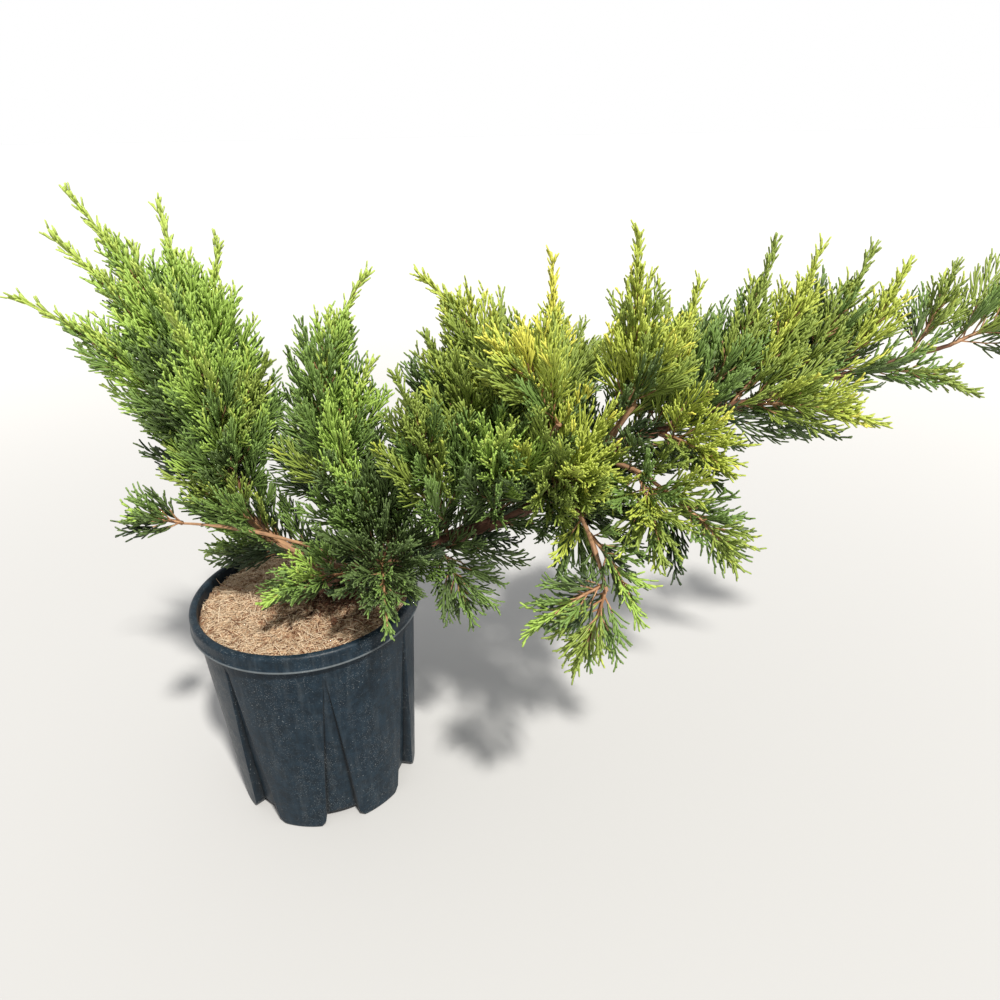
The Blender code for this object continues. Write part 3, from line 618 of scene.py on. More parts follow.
class PotShape:
    """The pot as one closed surface, whose columns run along the grooves' edges.

    A groove's half angle shrinks evenly to nothing under the rim. Some of the columns share out the
    groove's width at each height, and the others the panel's, so both edges are straight and
    crisp. At height z a panel's radius and a groove's both run straight from their foot to the
    wall's top, where they meet. The foot's edge steps up smoothly to the notch between two feet."""

    first_groove, half_foot, least_half, edge = -122.5, 11.0, 0.9, 0.35
    groove_top = 0.272

    def __init__(self, pot):
        self.pot = pot
        self.pitch = 360 / pot.feet
        in_groove = np.array([-1, -0.92, -0.72, -0.35, 0, 0.35, 0.72, 0.92, 1])
        on_panel = np.r_[0, 0.010, np.linspace(0.045, 0.955, 23), 0.990, 1]
        self.groove = np.tile(np.r_[in_groove, 0 * on_panel], pot.feet)
        self.panel = np.tile(np.r_[0 * in_groove, on_panel], pot.feet)
        self.sunk = np.tile(np.r_[0 * in_groove + 1, 0 * on_panel], pot.feet)
        # The columns at the grooves' edges, which carry painted shade
        self.corner = np.tile(np.r_[np.abs(in_groove) > 0.9, 0 * on_panel], pot.feet)
        self.columns = len(self.sunk)
        middles = self.first_groove + self.pitch * np.arange(pot.feet)
        self.middles = np.repeat(middles, self.columns // pot.feet)
        from_groove = self.offset(0.0, 0)
        from_groove = np.minimum(np.abs(from_groove), self.pitch - from_groove)
        self.foot = pot.notch * gentle((self.half_foot + 3.2 - from_groove) / 4.4)
        self.rows = []

    def offset(self, z, wider):
        """Each column's angle from the middle of its groove at this height, in degrees."""
        half = np.maximum(self.half_foot * (1 - z / self.groove_top), self.least_half) + wider
        on_panel = half + self.edge / 2 + self.panel * (self.pitch - 2 * half - self.edge)
        return np.where(self.sunk > 0, self.groove * (half - self.edge / 2), on_panel)

    def add(self, radius, z, wider=0):
        """A ring. Inside the wall its grooves are wider, by a wall's thickness."""
        turn = np.radians(self.middles + self.offset(z, wider))
        sway = 1 + 0.0012 * np.cos(2 * turn + 0.7) * (z > 0.05)
        radius = np.minimum(radius * sway, self.pot.rim_radius)
        height = z + 0 * turn
        self.rows.append(np.stack([radius * np.cos(turn), radius * np.sin(turn), height], -1))

    def wall(self, z):
        """The outer radius at this height."""
        pot = self.pot
        share = np.clip(z / (pot.height - pot.rim_depth), 0, 1)
        panel = pot.panel_foot + (pot.wall_top - pot.panel_foot) * share
        groove = pot.wall_foot + (pot.wall_top - pot.wall_foot) * share - 0.0012
        fading = gentle(self.half_foot * (1 - z / self.groove_top))
        return panel + (groove - panel) * self.sunk * fading

    def surface(self):
        pot, foot = self.pot, self.foot
        under_rim = pot.height - pot.rim_depth
        for share in np.linspace(0.25, 1, 4):
            self.add(0.029 * share, 0.0)
        self.add(0.030, 0.0006)
        self.add(0.032, pot.notch)
        for radius in np.linspace(0.050, 0.105, 4):
            self.add(radius, pot.notch)
        self.add(0.1065, foot + (pot.notch - foot) * 0.9)
        self.add(0.1080, foot + 0.0012)
        self.add(0.1090, foot)
        edge = self.wall(foot)
        self.add(edge - 0.0016, foot)
        self.add(edge - 0.0004, foot + 0.0004)
        low = foot + 0.0014
        for share in np.linspace(0, 1, 52) ** 1.15:
            z = low + (under_rim - 0.0016 - low) * share
            self.add(self.wall(z), z)
        self.add_rim(under_rim)
        self.add(pot.rim_inner, 0.2860)
        self.add(pot.rim_inner, 0.2740)
        for z in (0.24, 0.18, 0.12, 0.06, 0.016):
            self.add(self.wall(z) - 0.0022, z, 1.2)
        for radius in (0.08, 0.04):
            self.add(radius, 0.015)
        points = closed_points((0, 0, 0), self.rows, (0, 0, 0.015))
        return points, closed_faces(len(self.rows), self.columns)

    def corners(self, points):
        """How much painted shade each point has in the grooves' corners. It fades under the rim."""
        painted_shade = np.r_[0, np.tile(self.corner, len(self.rows)), 0]
        return painted_shade * gentle((self.groove_top - points[:, 2]) / 0.05)

    def add_rim(self, under_rim):
        """The rolled rim: a bead along its lower edge, a straight face, and a round top."""
        pot, rim = self.pot, self.pot.rim_radius
        self.add(pot.wall_top + 0.0006, under_rim - 0.0006)
        self.add(pot.wall_top + 0.0030, under_rim)
        self.add(rim - 0.0016, under_rim + 0.0001)
        self.add(rim - 0.0003, under_rim + 0.0005)
        self.add(rim, under_rim + 0.0014)
        self.add(rim - 0.0006, under_rim + 0.0024)
        self.add(rim - 0.0014, under_rim + 0.0034)
        self.add(rim - 0.0016, under_rim + 0.0090)
        for turn in np.linspace(0, pi / 2, 9):
            self.add(rim - 0.0066 + 0.0050 * cos(turn), pot.height - 0.0050 + 0.0050 * sin(turn))
        for turn in np.linspace(pi / 2, pi, 7):
            rolled = pot.rim_inner + 0.0040 + 0.0040 * cos(turn)
            self.add(rolled, pot.height - 0.0040 + 0.0040 * sin(turn))


def mulch_relief(places, top):
    """The mulch's height at each place: low waves, sunk by the rim and heaped round the stem."""
    chance = np.random.default_rng(5)
    radius = np.linalg.norm(places, axis=-1)
    lumps = waves(places, 26, 0.012, 0.055, chance) * 0.0016
    lumps += waves(places, 30, 0.004, 0.011, chance) * 0.0007
    by_rim = -0.004 * np.clip((radius - 0.115) / 0.023, 0, 1) ** 2
    heap = 0.007 * np.exp(-((places - (0.045, 0.0)) ** 2).sum(-1) / (2 * 0.024**2))
    return top + lumps + by_rim + heap


def mulch_bed(mulch, inner):
    """A round bed: rings of points at the mulch's height, closed by a flat underside."""
    columns, rings = 200, 60
    angle = np.linspace(0, 2 * pi, columns, endpoint=False)
    radius = np.linspace(inner, 0, rings, endpoint=False)[:, None]
    places = np.stack([radius * np.cos(angle), radius * np.sin(angle)], -1)
    top = np.concatenate([places, mulch_relief(places, mulch.top)[..., None]], -1)
    low = np.stack([inner * np.cos(angle), inner * np.sin(angle), 0 * angle + mulch.top - 0.02], -1)
    rings_up = np.concatenate([low[None], top])
    middle = np.zeros((1, 2))
    pole = (0, 0, mulch_relief(middle, mulch.top)[0])
    points = closed_points((0, 0, mulch.top - 0.02), rings_up, pole)
    return points, closed_faces(rings + 1, columns)


# Slender curved shoots, many at a time. Each starts at its start, runs its length, and bends evenly
# from its way to its turn. Flat is the side to which its own side shoots grow.
Shoots = namedtuple("Shoots", "start way turn flat length shade")


def taken(shoots, keep):
    return Shoots(*(values[keep] for values in shoots))


def together(*batches):
    return Shoots(*(np.concatenate(values) for values in zip(*batches)))


def along(shoots, t):
    """The points and ways at shares t, a row for each shoot: start + length (t way + t t / 2 (turn
    - way)), and the way that changes evenly from way to turn."""
    t = t[..., None]
    way, bend = shoots.way[:, None], (shoots.turn - shoots.way)[:, None]
    points = shoots.start[:, None] + shoots.length[:, None, None] * (t * way + t**2 / 2 * bend)
    return points, unit(way + t * bend)


def frame_at(shoots, t):
    """Points, ways and the two sides of each shoot at shares t."""
    points, ways = along(shoots, t)
    side = shoots.flat[:, None] - dot(shoots.flat[:, None], ways) * ways
    side = unit(side)
    return points, ways, side, np.cross(ways, side)


def spindle_points(shoots, shares, widths):
    """Closed three-sided spindles: a point at the root, a ring of three points at each share with
    its half width, and a point at the tip."""
    count = len(shoots.length)
    shares = np.asarray(shares, float)
    points, _, side, other = frame_at(shoots, np.tile(shares, (count, 1)))
    turns = np.array([0.5, 7 / 6, 11 / 6]) * pi
    spokes = side[:, :, None] * np.cos(turns)[:, None] + other[:, :, None] * np.sin(turns)[:, None]
    widths = np.broadcast_to(widths, (count, len(shares)))
    rings = points[:, :, None] + widths[..., None, None] * spokes
    tips = along(shoots, np.ones((count, 1)))[0]
    whole = [shoots.start[:, None], rings.reshape(count, -1, 3), tips]
    return np.concatenate(whole, 1)


def spindle_faces(count, rings):
    faces = closed_faces(rings, 3)
    size = 2 + 3 * rings
    return (faces[None] + size * np.arange(count)[:, None, None]).reshape(-1, 3)


def spindles(shoots, shares, widths):
    points = spindle_points(shoots, shares, widths)
    return points.reshape(-1, 3), spindle_faces(len(shoots.length), len(shares))


def joined(*meshes):
    """Several arrays of points and triangles as one."""
    points, faces, before = [], [], 0
    for some_points, some_faces in meshes:
        points.append(some_points)
        faces.append(some_faces + before)
        before += len(some_points)
    return np.vstack(points), np.vstack(faces)


def side_shoots(parents, pitch, most, first, lean, roll, forward, share_of_length, least, chance):
    """Side shoots on both sides of each parent in turn, which bend forward. Their length is a share
    of the parent's that falls towards its tip. They lie near the parent's own plane."""
    count = np.clip(np.round(parents.length * (1 - first) / pitch), 2, most)[:, None]
    k = np.arange(most)
    jitter = chance.uniform(0.1, 0.9, (len(count), most))
    t = first + (1 - first) * (k + jitter) / count
    keep = k < count
    t = np.minimum(t, 0.98)
    points, ways, side, other = frame_at(parents, t)
    turn = chance.uniform(-roll, roll, t.shape) + pi * (k % 2)
    out = np.cos(turn)[..., None] * side + np.sin(turn)[..., None] * other
    angle = lean * chance.uniform(0.8, 1.2, t.shape)[..., None]
    way = np.cos(angle) * ways + np.sin(angle) * out
    length = parents.length[:, None] * share_of_length * (1 - t) ** 0.65
    length = np.minimum(np.maximum(length, least), 0.75 * parents.length[:, None])
    length = length * chance.uniform(0.75, 1.2, t.shape)
    made = Shoots(
        points,
        way,
        unit(way + forward * ways + 0.45 * UP),
        unit(ways - dot(ways, way) * way),
        length,
        np.broadcast_to(parents.shade[:, None], t.shape),
    )
    return taken(made, keep), t[keep]


def stems_of(limbs):
    """Each mass's stem, as its row says: its chord and bow give the way at its root and its tip."""
    rows = []
    for row in MASSES:
        start, normal = limbs[row.limb].seat(row.at, chord_of(row)[0])
        chord, lift = chord_of(row)
        bow = 4 * row.bow * lift
        flat = np.cross(chord, UP if abs(chord[2]) < 0.95 else [1.0, 0, 0])
        rows.append((start - 0.002 * normal, chord + bow, chord - bow, unit(flat), row.length, 0))
    return Shoots(*(np.array(values) for values in zip(*rows)))


def shade_of(tone, light):
    """The number of the shade for this much light, from 0 inside the crown to 1 at its tips."""
    ramp = np.array([[SHADES.index(s) for s in TONES[name]] for name in tone])
    step = np.clip((light * 4).astype(int), 0, 3)
    return ramp[np.arange(len(ramp)), step]


def shoots_of(stems, growth, chance):
    """Shoots along each stem. They turn by the golden angle from one to the next, and their lengths
    follow the source's lance shape."""
    batches, shares = [], []
    for row, index in zip(MASSES, range(len(MASSES))):
        count = int(np.clip(row.length / growth.shoot_pitch, 18, 46))
        t = np.linspace(0.03, 0.77, count) + chance.uniform(-0.01, 0.01, count)
        stem = taken(stems, [index])
        points, ways, side, other = (v[0] for v in frame_at(stem, t[None]))
        turn = chance.uniform(0, 2 * pi) + radians(137.5) * np.arange(count)
        out = np.cos(turn)[:, None] * side + np.sin(turn)[:, None] * other
        lean = radians(52) - radians(28) * t + chance.uniform(-0.12, 0.12, count)
        way = unit(np.cos(lean)[:, None] * ways + np.sin(lean)[:, None] * out + 0.16 * UP)
        roll = chance.uniform(-0.7, 0.7, count)[:, None]
        flat = unit(ways - dot(ways, way) * way)
        flat = np.cos(roll) * flat + np.sin(roll) * np.cross(way, flat)
        lance = 1.15 * (1 - (t / 0.80) ** 2.3)
        length = np.maximum(row.reach * lance * chance.uniform(0.72, 1.08, count), 0.008)
        # Painted light: shoots further out along the stem, and those that face up, get lighter shades
        light = 0.12 + 0.55 * t + chance.uniform(0, 0.42, count) + 0.12 * out[:, 2]
        shade = shade_of([row.tone] * count, np.clip(light, 0, 0.999))
        batches.append(Shoots(points, way, unit(way + 1.1 * ways + 0.2 * UP), flat, length, shade))
        shares.append(t)
    return together(*batches), np.concatenate(shares)


def limb_shoots(limbs, chance):
    """Short leafy shoots straight on the trunk and the boughs, darker than the plumes: painted shade
    inside the crown.
    """
    batches = []
    for name, limb in limbs.items():
        first, last, pitch = SHOOTS_ON.get(name, SHOOTS_ON_OTHERS)
        if last == 0:
            continue
        length = np.linalg.norm(np.diff(limb.path, axis=0), axis=1).sum()
        count = int((last - first) * length / pitch)
        t = np.linspace(first, last, count)
        points = np.stack([np.interp(t, limb.shares, limb.path[:, i]) for i in range(3)], -1)
        ways = unit(np.gradient(points, axis=0))
        side = unit(np.cross(ways, UP + 0.01))
        other = np.cross(ways, side)
        turn = radians(137.5) * np.arange(count) + chance.uniform(0, 6)
        out = np.cos(turn)[:, None] * side + np.sin(turn)[:, None] * other
        lean = chance.uniform(0.75, 1.15, count)[:, None]
        way = unit(np.cos(lean) * ways + np.sin(lean) * out)
        sunny = "yellow" if name in ("front_bough", "hanging_bough") else "olive"
        tones = ["dark" if k % 2 or t[k] < 0.35 else sunny for k in range(count)]
        shade = shade_of(tones, chance.uniform(0, 0.999, count))
        reach = chance.uniform(0.040, 0.110, count)
        flat = unit(ways - dot(ways, way) * way)
        batches.append(Shoots(points, way, unit(way + 0.5 * ways + 0.2 * UP), flat, reach, shade))
    return together(*batches)


def leafy_ends(shoots, first):
    """The part of each shoot past this share, as a shoot of its own on the same curve."""
    start = along(shoots, np.full((len(shoots.length), 1), first))[0][:, 0]
    way = shoots.way + first * (shoots.turn - shoots.way)
    return shoots._replace(start=start, way=way, length=shoots.length * (1 - first))


def clear_of_limbs(shoots, limbs, pot):
    """Whether each shoot stays out of the limbs, the pot and the soil."""
    t = np.tile([0.35, 0.5, 0.75, 1.0], (len(shoots.length), 1))
    points = along(shoots, t)[0]
    clear = np.ones(len(shoots.length), bool)
    for limb in limbs.values():
        fine = np.linspace(0, 1, 60)
        path = np.stack([np.interp(fine, limb.shares, limb.path[:, i]) for i in range(3)], -1)
        width = np.interp(fine, limb.shares, limb.widths)
        away = np.linalg.norm(points[:, :, None] - path, axis=-1) - width
        clear &= away.min((1, 2)) > 0.001
    return clear & above_pot(points, pot)


def above_pot(points, pot):
    """Whether every point of each row is over the soil, and over or outside the rim."""
    radius = np.linalg.norm(points[..., :2], axis=-1)
    height = points[..., 2]
    over_soil = (radius > pot.rim_inner - 0.004) | (height > 0.2935)
    over_rim = (radius < pot.rim_inner - 0.004) | (radius > pot.rim_radius + 0.003)
    return (over_soil & (over_rim | (height > pot.height + 0.001))).all(1)


def lighter(shade, chosen):
    """The next lighter shade for the chosen ones."""
    names = {"deep": "dark", "dark": "green", "fresh": "lime", "olive": "yellow", "yellow": "gold"}
    table = np.array([SHADES.index(names.get(name, name)) for name in SHADES])
    return np.where(chosen, table[shade], shade)


def foliage(growth, pot):
    """Stems, shoots, and the two finer orders of leafy branchlets on them."""
    chance = np.random.default_rng(growth.seed)
    limbs = all_limbs()
    stems = stems_of(limbs)
    shoots, _ = shoots_of(stems, growth, chance)
    shoots = together(shoots, limb_shoots(limbs, chance))
    shoots = taken(shoots, clear_of_limbs(shoots, limbs, pot))
    # Painted light: the stems' leafy ends take the shades of well-lit tips
    ends = stems._replace(shade=shade_of([row.tone for row in MASSES], np.full(len(MASSES), 0.8)))
    branchlets, t = side_shoots(
        shoots, growth.branchlet_pitch, 40, 0.08, 0.50, 0.6, 1.5, 0.56, 0.010, chance
    )
    # Painted sunlight: some branchlets near the tips of their shoots get a lighter shade
    branchlets = branchlets._replace(
        shade=lighter(branchlets.shade, (t > 0.72) & (chance.random(len(t)) < 0.25))
    )
    close, _ = side_shoots(ends, 0.0026, 110, 0.30, 0.50, 1.6, 1.4, 0.16, 0.014, chance)
    branchlets = together(branchlets, close)
    tips = along(branchlets, np.ones((len(branchlets.length), 1)))[0]
    branchlets = taken(branchlets, above_pot(tips, pot))
    twiglets, _ = side_shoots(
        branchlets, growth.twiglet_pitch, 6, 0.10, 0.38, 0.7, 1.6, 0.72, 0.009, chance
    )
    tips = along(twiglets, np.ones((len(twiglets.length), 1)))[0]
    twiglets = taken(twiglets, above_pot(tips, pot))
    branchlets = together(branchlets, leafy_ends(shoots, 0.35), leafy_ends(ends, 0.75))
    return limbs, stems, shoots, branchlets, twiglets


def bark_tube(limb, name, bark, swellings, chance):
    """A limb's bark: rings carried along a fine path. The radius is the limb's half width plus long
    strips, which are waves drawn out along the limb, plus a collar where each bough stands."""
    rings, columns = (480, 36) if name == "trunk" else (100, 14)
    if name == "trunk":
        shares = np.linspace(0, 1, rings) ** 1.2
        path = smooth_line(TRUNK_LINE, shares)
        widths = trunk_widths(shares, path)
    else:
        row = next(row for row in BOUGHS if row.name == name)
        shares = np.linspace(0, 1, rings)
        path = arc(limb.path[0], row, rings)
        widths = row.width + (row.tip_width - row.width) * shares
    ways = unit(np.gradient(path, axis=0))
    chord = unit(path[-1] - path[0])
    reference = np.array([0, 1.0, 0]) if abs(chord[1]) < 0.7 else np.array([1.0, 0, 0])
    side = unit(np.cross(ways, reference))
    other = np.cross(ways, side)
    angle = np.linspace(0, 2 * pi, columns, endpoint=False)
    run = np.r_[0, np.cumsum(np.linalg.norm(np.diff(path, axis=0), axis=1))]
    around = np.stack([np.cos(angle), np.sin(angle)], -1) * widths[:, None, None]
    grain = np.concatenate([around, np.broadcast_to(run[:, None, None], (rings, columns, 1))], -1)
    drawn = grain * (1, 1, 0.12)
    strips = waves(drawn, 40, 0.004, 0.012, chance) + 0.6 * waves(drawn, 40, 0.0016, 0.004, chance)
    depth = bark.relief * np.clip(widths / 0.014, 0.25, 1)[:, None]
    radius = widths[:, None] * (1 + 0.05 * waves(grain, 12, 0.03, 0.09, chance)) + depth * strips
    if name == "trunk":
        near = np.exp(-(path[:, 2] - path[0, 2]) / 0.012)[:, None]
        radius = radius * (1 + 0.22 * near * np.cos(3 * angle))
    out = np.cos(angle)[:, None] * side[:, None] + np.sin(angle)[:, None] * other[:, None]
    points = path[:, None] + radius[..., None] * out
    for place, width in swellings:
        away = np.linalg.norm(points - place, axis=-1)
        points += (0.45 * width * np.exp(-((away / (1.6 * width)) ** 2)))[..., None] * out
    root = path[0] - (0 if name == "trunk" else 0.7 * widths[0]) * ways[0]
    if name == "trunk":
        points[..., 2] = np.maximum(points[..., 2], 0.289)
    tip = path[-1] + 0.3 * widths[-1] * ways[-1]
    grain = np.vstack([grain[0].mean(0), grain.reshape(-1, 3), grain[-1].mean(0)])
    return closed_points(root, points, tip), closed_faces(rings, columns), grain


class JuniperOperator:
    """What every step has in common: it can be undone, and it says when it is done."""

    bl_options = {"REGISTER", "UNDO"}


class JUNIPER_OT_pot(JuniperOperator, bpy.types.Operator):
    """Add the grooved plastic pot"""

    bl_idname = "juniper.pot"
    bl_label = "Pot"

    def execute(self, context):
        pot = context.scene.juniper_pot
        shape = PotShape(pot)
        points, faces = shape.surface()
        shell = make_piece("pot_shell", points, faces, plastic_finish(pot), "pot_plastic", ["pot"])
        # Painted shade in the grooves' corners, which the finish uses to darken the plastic there
        painted_shade = shell.data.attributes.new("painted_shade", "FLOAT", "POINT")
        painted_shade.data.foreach_set("value", shape.corners(points).astype(np.float32))
        return {"FINISHED"}


class JUNIPER_OT_mulch(JuniperOperator, bpy.types.Operator):
    """Add the mulch: its bed, its loose fibres and the chips round the stem"""

    bl_idname = "juniper.mulch"
    bl_label = "Mulch"

    def execute(self, context):
        mulch = context.scene.juniper_mulch
        inner = context.scene.juniper_pot.rim_inner - 0.0004
        points, faces = mulch_bed(mulch, inner)
        make_piece("mulch_bed", points, faces, bed_finish(mulch), "mulch", ["soil"])
        chance = np.random.default_rng(23)
        radius = (inner - 0.002) * chance.random(mulch.fibres) ** 0.5
        bearing = chance.uniform(0, 2 * pi, mulch.fibres)
        place = np.stack([radius * np.cos(bearing), radius * np.sin(bearing)], -1)
        height = mulch_relief(place, mulch.top) + chance.uniform(-0.0006, 0.0022, mulch.fibres)
        heading = chance.uniform(0, 2 * pi, mulch.fibres)
        rise = chance.normal(0, 0.13, mulch.fibres)
        way = np.stack([np.cos(heading), np.sin(heading), rise], -1)
        length = np.exp(chance.normal(np.log(0.014), 0.5, mulch.fibres)).clip(0.005, 0.038)
        turn = unit(way + chance.normal(0, 0.55, (mulch.fibres, 3)) * (1, 1, 0.3))
        start = np.concatenate([place, height[:, None]], -1) - 0.5 * length[:, None] * way
        strands = Shoots(start, unit(way), turn, np.cross(way, UP), length, 0 * heading)
        ends = np.concatenate([start[:, None], along(strands, np.ones((len(length), 1)))[0]], 1)
        inside = (np.linalg.norm(ends[..., :2], axis=-1) < inner).all(1)
        strands = taken(strands, inside)
        from_stem = np.linalg.norm(strands.start[:, :2] - (0.045, 0), axis=1)
        kind = (chance.random(len(from_stem)) > 0.22 + 2.6 * from_stem).astype(int)
        kind += (kind == 1) & (chance.random(len(from_stem)) < 0.25)
        names = (("straw_fibres", mulch.straw), ("tan_fibres", mulch.tan), ("rust_fibres", mulch.rust))
        for number, (name, colour) in enumerate(names):
            some = taken(strands, kind == number)
            width = np.exp(chance.normal(np.log(0.00040), 0.30, len(some.length)))[:, None]
            mesh = spindles(some, (0.12, 0.7), width * (1.0, 0.8))
            make_piece(name, *mesh, fibre_finish(name + "_finish", colour), "mulch")
        self.add_chips(mulch, inner, chance)
        return {"FINISHED"}

    def add_chips(self, mulch, inner, chance):
        """Flat bark chips: short wide spindles, thickest round the foot of the trunk."""
        count = mulch.chips
        radius = np.abs(chance.normal(0, 0.034, count)) + 0.014
        bearing = chance.uniform(0, 2 * pi, count)
        place = np.stack([0.045 + radius * np.cos(bearing), radius * np.sin(bearing)], -1)
        place = place[np.linalg.norm(place, axis=1) < inner - 0.012]
        count = len(place)
        height = mulch_relief(place, mulch.top) + chance.uniform(0, 0.004, count)
        heading = chance.uniform(0, 2 * pi, count)
        way = unit(np.stack([np.cos(heading), np.sin(heading), chance.normal(0, 0.3, count)], -1))
        length = chance.uniform(0.005, 0.015, count)
        start = np.concatenate([place, height[:, None]], -1) - 0.5 * length[:, None] * way
        flat = unit(chance.normal(size=(count, 3)) * (1, 1, 0.4))
        flat = unit(flat - dot(flat, way) * way)
        chips = Shoots(start, way, way, flat, length, 0 * length)
        width = chance.uniform(0.0012, 0.0032, count)[:, None]
        mesh = spindles(chips, (0.08, 0.5, 0.92), width * (0.8, 1.0, 0.7))
        finish = fibre_finish("bark_chips_finish", tuple(0.55 * c for c in mulch.rust))
        make_piece("bark_chips", *mesh, finish, "mulch")


class JUNIPER_OT_bark(JuniperOperator, bpy.types.Operator):
    """Add the bark of the trunk and of the boughs"""

    bl_idname = "juniper.bark"
    bl_label = "Bark"

    def execute(self, context):
        bark = context.scene.juniper_bark
        old = bark_finish("bark_finish", bark.strip, bark.crevice, bark.patch)
        young = bark_finish("young_bark_finish", bark.young, bark.patch, bark.twig)
        chance = np.random.default_rng(3)
        limbs = all_limbs()
        swellings = [(limbs[row.name].path[0], row.width) for row in BOUGHS]
        tubes = {
            name: bark_tube(limb, name, bark, swellings if name == "trunk" else [], chance)
            for name, limb in limbs.items()
        }
        self.add("trunk_bark", [tubes["trunk"]], old, ["trunk"])
        boughs = [row.name for row in BOUGHS]
        self.add("bough_bark", [tubes[name] for name in boughs], young, boughs)
        return {"FINISHED"}

    def add(self, name, tubes, finish, replaced):
        points, faces = joined(*((points, faces) for points, faces, _ in tubes))
        piece = make_piece(name, points, faces, finish, "bark", replaced)
        grain = piece.data.attributes.new("grain", "FLOAT_VECTOR", "POINT")
        values = np.vstack([values for _, _, values in tubes])
        grain.data.foreach_set("vector", values.astype(np.float32).ravel())


class JUNIPER_OT_foliage(JuniperOperator, bpy.types.Operator):
    """Grow the twigs and the leafy sprays of every mass"""

    bl_idname = "juniper.foliage"
    bl_label = "Foliage"

    def execute(self, context):
        scene = context.scene
        growth = scene.juniper_foliage
        limbs, stems, shoots, branchlets, twiglets = foliage(growth, scene.juniper_pot)
        masses = [row.name for row in MASSES]
        twig = twig_finish(scene.juniper_bark)
        stem_rings = np.linspace(0.01, 0.97, 12)
        wood = joined(
            spindles(stems, stem_rings, np.linspace(0.0030, 0.0010, 12)),
            spindles(shoots, (0.02, 0.3, 0.6), np.array((0.0012, 0.0010, 0.0007))),
        )
        make_piece("twigs", *wood, twig, "bark", masses)
        for number, shade in enumerate(SHADES):
            some = taken(branchlets, branchlets.shade == number)
            fine = taken(twiglets, twiglets.shade == number)
            if len(some.length):
                self.add(shade, some, fine, growth, masses)
        return {"FINISHED"}

    def cord_shape(self, cord):
        """Where a branchlet has its rings, and how wide they are."""
        return (0.05, 0.45, 0.92), cord * np.array((0.9, 1.0, 0.8))

    def twiglet_shape(self, cord):
        return (0.12, 0.86), cord * np.array((0.85, 0.8))

    def add(self, shade, branchlets, twiglets, growth, masses):
        """One shade's leafy branchlets, in as many pieces as their triangles need."""
        cord = growth.cord
        finish = leaf_finish(f"foliage_{shade}_finish", getattr(growth, shade))
        points, faces = joined(
            spindles(branchlets, *self.cord_shape(cord)),
            spindles(twiglets, *self.twiglet_shape(cord)),
        )
        parts = -(-len(faces) // MOST_TRIANGLES)
        if parts == 1:
            make_piece(f"foliage_{shade}", points, faces, finish, "foliage", masses)
            return
        for number in range(parts):
            some = taken(branchlets, slice(number, None, parts))
            fine = taken(twiglets, slice(number, None, parts))
            mesh = joined(
                spindles(some, *self.cord_shape(cord)),
                spindles(fine, *self.twiglet_shape(cord)),
            )
            make_piece(f"foliage_{shade}_{number + 1}", *mesh, finish, "foliage", masses)


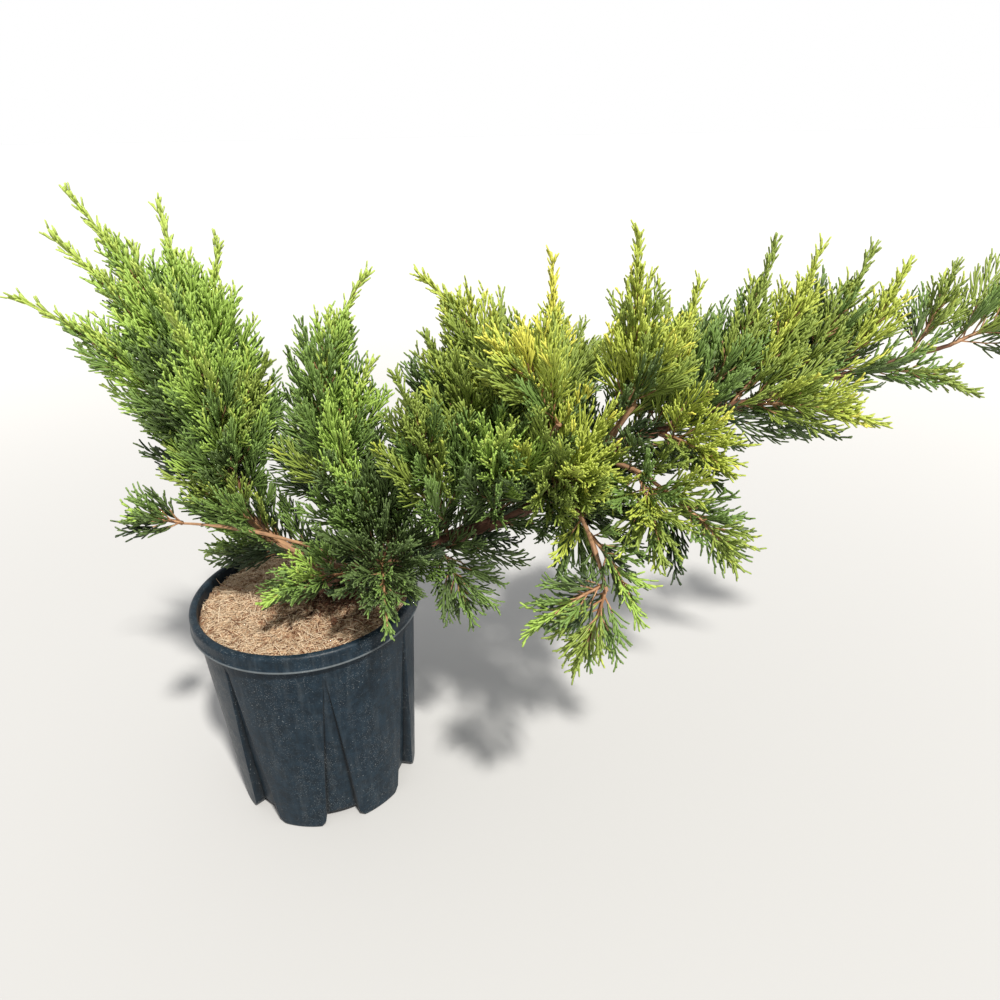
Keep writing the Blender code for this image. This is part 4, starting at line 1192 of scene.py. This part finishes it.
class JUNIPER_OT_stage(JuniperOperator, bpy.types.Operator):
    """Add the floor, the lights and the camera"""

    bl_idname = "juniper.stage"
    bl_label = "Stage"

    def execute(self, context):
        scene = context.scene
        stage = scene.juniper_stage
        self.add_floor()
        self.add_sun((0.26, -0.50, 0.83), stage.sun)
        self.add_backdrop(scene, stage.sky)
        scene.view_settings.view_transform = "Standard"
        self.add_camera(scene, stage)
        return {"FINISHED"}

    def add_floor(self):
        """A plain pale floor, which is white where it meets the backdrop."""
        size = 60.0
        corners = [(-size, -size, 0), (size, -size, 0), (size, size, 0), (-size, size, 0)]
        data = bpy.data.meshes.new("floor")
        data.from_pydata(corners, [], [(0, 1, 2, 3)])
        finish = Finish("floor_finish", Roughness=0.9)
        away = finish.node("ShaderNodeVectorMath", {"operation": "LENGTH"}, {0: finish.place()}, 1)
        pale, white = (0.42, 0.42, 0.42, 1), (0.54, 0.54, 0.54, 1)
        finish.set(finish.shader, {"Base Color": finish.blend(away.ramp(0.7, 3.5), pale, white)})
        data.materials.append(finish.material)
        floor = bpy.data.objects.new("floor", data)
        floor.location.z = -0.0005
        bpy.context.scene.collection.objects.link(floor)

    def add_sun(self, way, strength):
        """A soft key light as wide as a large lamp nearby, from this way."""
        data = bpy.data.lights.new("key_light", "SUN")
        data.energy, data.angle, data.color = strength, radians(4.5), (1.0, 0.965, 0.90)
        light = bpy.data.objects.new("key_light", data)
        back = unit(np.array(way))
        side = unit(np.cross(UP, back))
        light.matrix_world = placed(np.column_stack([side, np.cross(back, side), back]), back)
        bpy.context.scene.collection.objects.link(light)

    def add_backdrop(self, scene, strength):
        """Even light from all round, in front of a white backdrop."""
        world = bpy.data.worlds.new("studio")
        world.use_nodes = True
        tree = world.node_tree
        even = tree.nodes["Background"]
        even.inputs["Color"].default_value = (1.0, 1.0, 1.0, 1)
        even.inputs["Strength"].default_value = strength
        white = tree.nodes.new("ShaderNodeBackground")
        white.inputs["Color"].default_value = (1.0, 1.0, 1.0, 1)
        seen = tree.nodes.new("ShaderNodeLightPath")
        mix = tree.nodes.new("ShaderNodeMixShader")
        tree.links.new(seen.outputs["Is Camera Ray"], mix.inputs[0])
        tree.links.new(even.outputs[0], mix.inputs[1])
        tree.links.new(white.outputs[0], mix.inputs[2])
        tree.links.new(mix.outputs[0], tree.nodes["World Output"].inputs["Surface"])
        scene.world = world

    def add_camera(self, scene, stage):
        data = bpy.data.cameras.new("camera")
        data.sensor_width, data.lens = 36.0, stage.lens
        camera = bpy.data.objects.new("camera", data)
        fall, roll = stage.camera_fall, stage.camera_roll
        ahead = np.array([0, cos(fall), -sin(fall)])
        right, over = np.array([1.0, 0, 0]), np.array([0, sin(fall), cos(fall)])
        across = cos(roll) * right + sin(roll) * over
        upright = -sin(roll) * right + cos(roll) * over
        camera.matrix_world = placed(np.column_stack([across, upright, -ahead]), stage.camera_place)
        scene.collection.objects.link(camera)
        scene.camera = camera


def placed(turned, place):
    """A matrix from three axes and a place."""
    matrix = Matrix(turned.tolist()).to_4x4()
    matrix.translation = tuple(place)
    return matrix


class JUNIPER_PT_panel(bpy.types.Panel):
    """The steps that dress the juniper, with their sizes and colours"""

    bl_idname = "JUNIPER_PT_panel"
    bl_label = "Potted Juniper"
    bl_space_type = "VIEW_3D"
    bl_region_type = "UI"
    bl_category = "Juniper"

    def draw(self, context):
        for step, (name, settings) in STEPS.items():
            box = self.layout.box()
            box.operator(f"juniper.{step}")
            group = getattr(context.scene, name)
            for prop in settings.__annotations__:
                box.prop(group, prop)


STEPS = {
    "pot": ("juniper_pot", PotSettings),
    "mulch": ("juniper_mulch", MulchSettings),
    "bark": ("juniper_bark", BarkSettings),
    "foliage": ("juniper_foliage", FoliageSettings),
    "stage": ("juniper_stage", StageSettings),
}
OPERATORS = (
    JUNIPER_OT_pot,
    JUNIPER_OT_mulch,
    JUNIPER_OT_bark,
    JUNIPER_OT_foliage,
    JUNIPER_OT_stage,
)


def register():
    for name, settings in STEPS.values():
        bpy.utils.register_class(settings)
        setattr(bpy.types.Scene, name, PointerProperty(type=settings))
    for operator in (*OPERATORS, JUNIPER_PT_panel):
        bpy.utils.register_class(operator)


def unregister():
    for operator in (*OPERATORS, JUNIPER_PT_panel):
        bpy.utils.unregister_class(operator)
    for name, settings in STEPS.values():
        delattr(bpy.types.Scene, name)
        bpy.utils.unregister_class(settings)


def main():
    register()
    for step in STEPS:
        getattr(bpy.ops.juniper, step)()


if __name__ == "__main__":
    main()
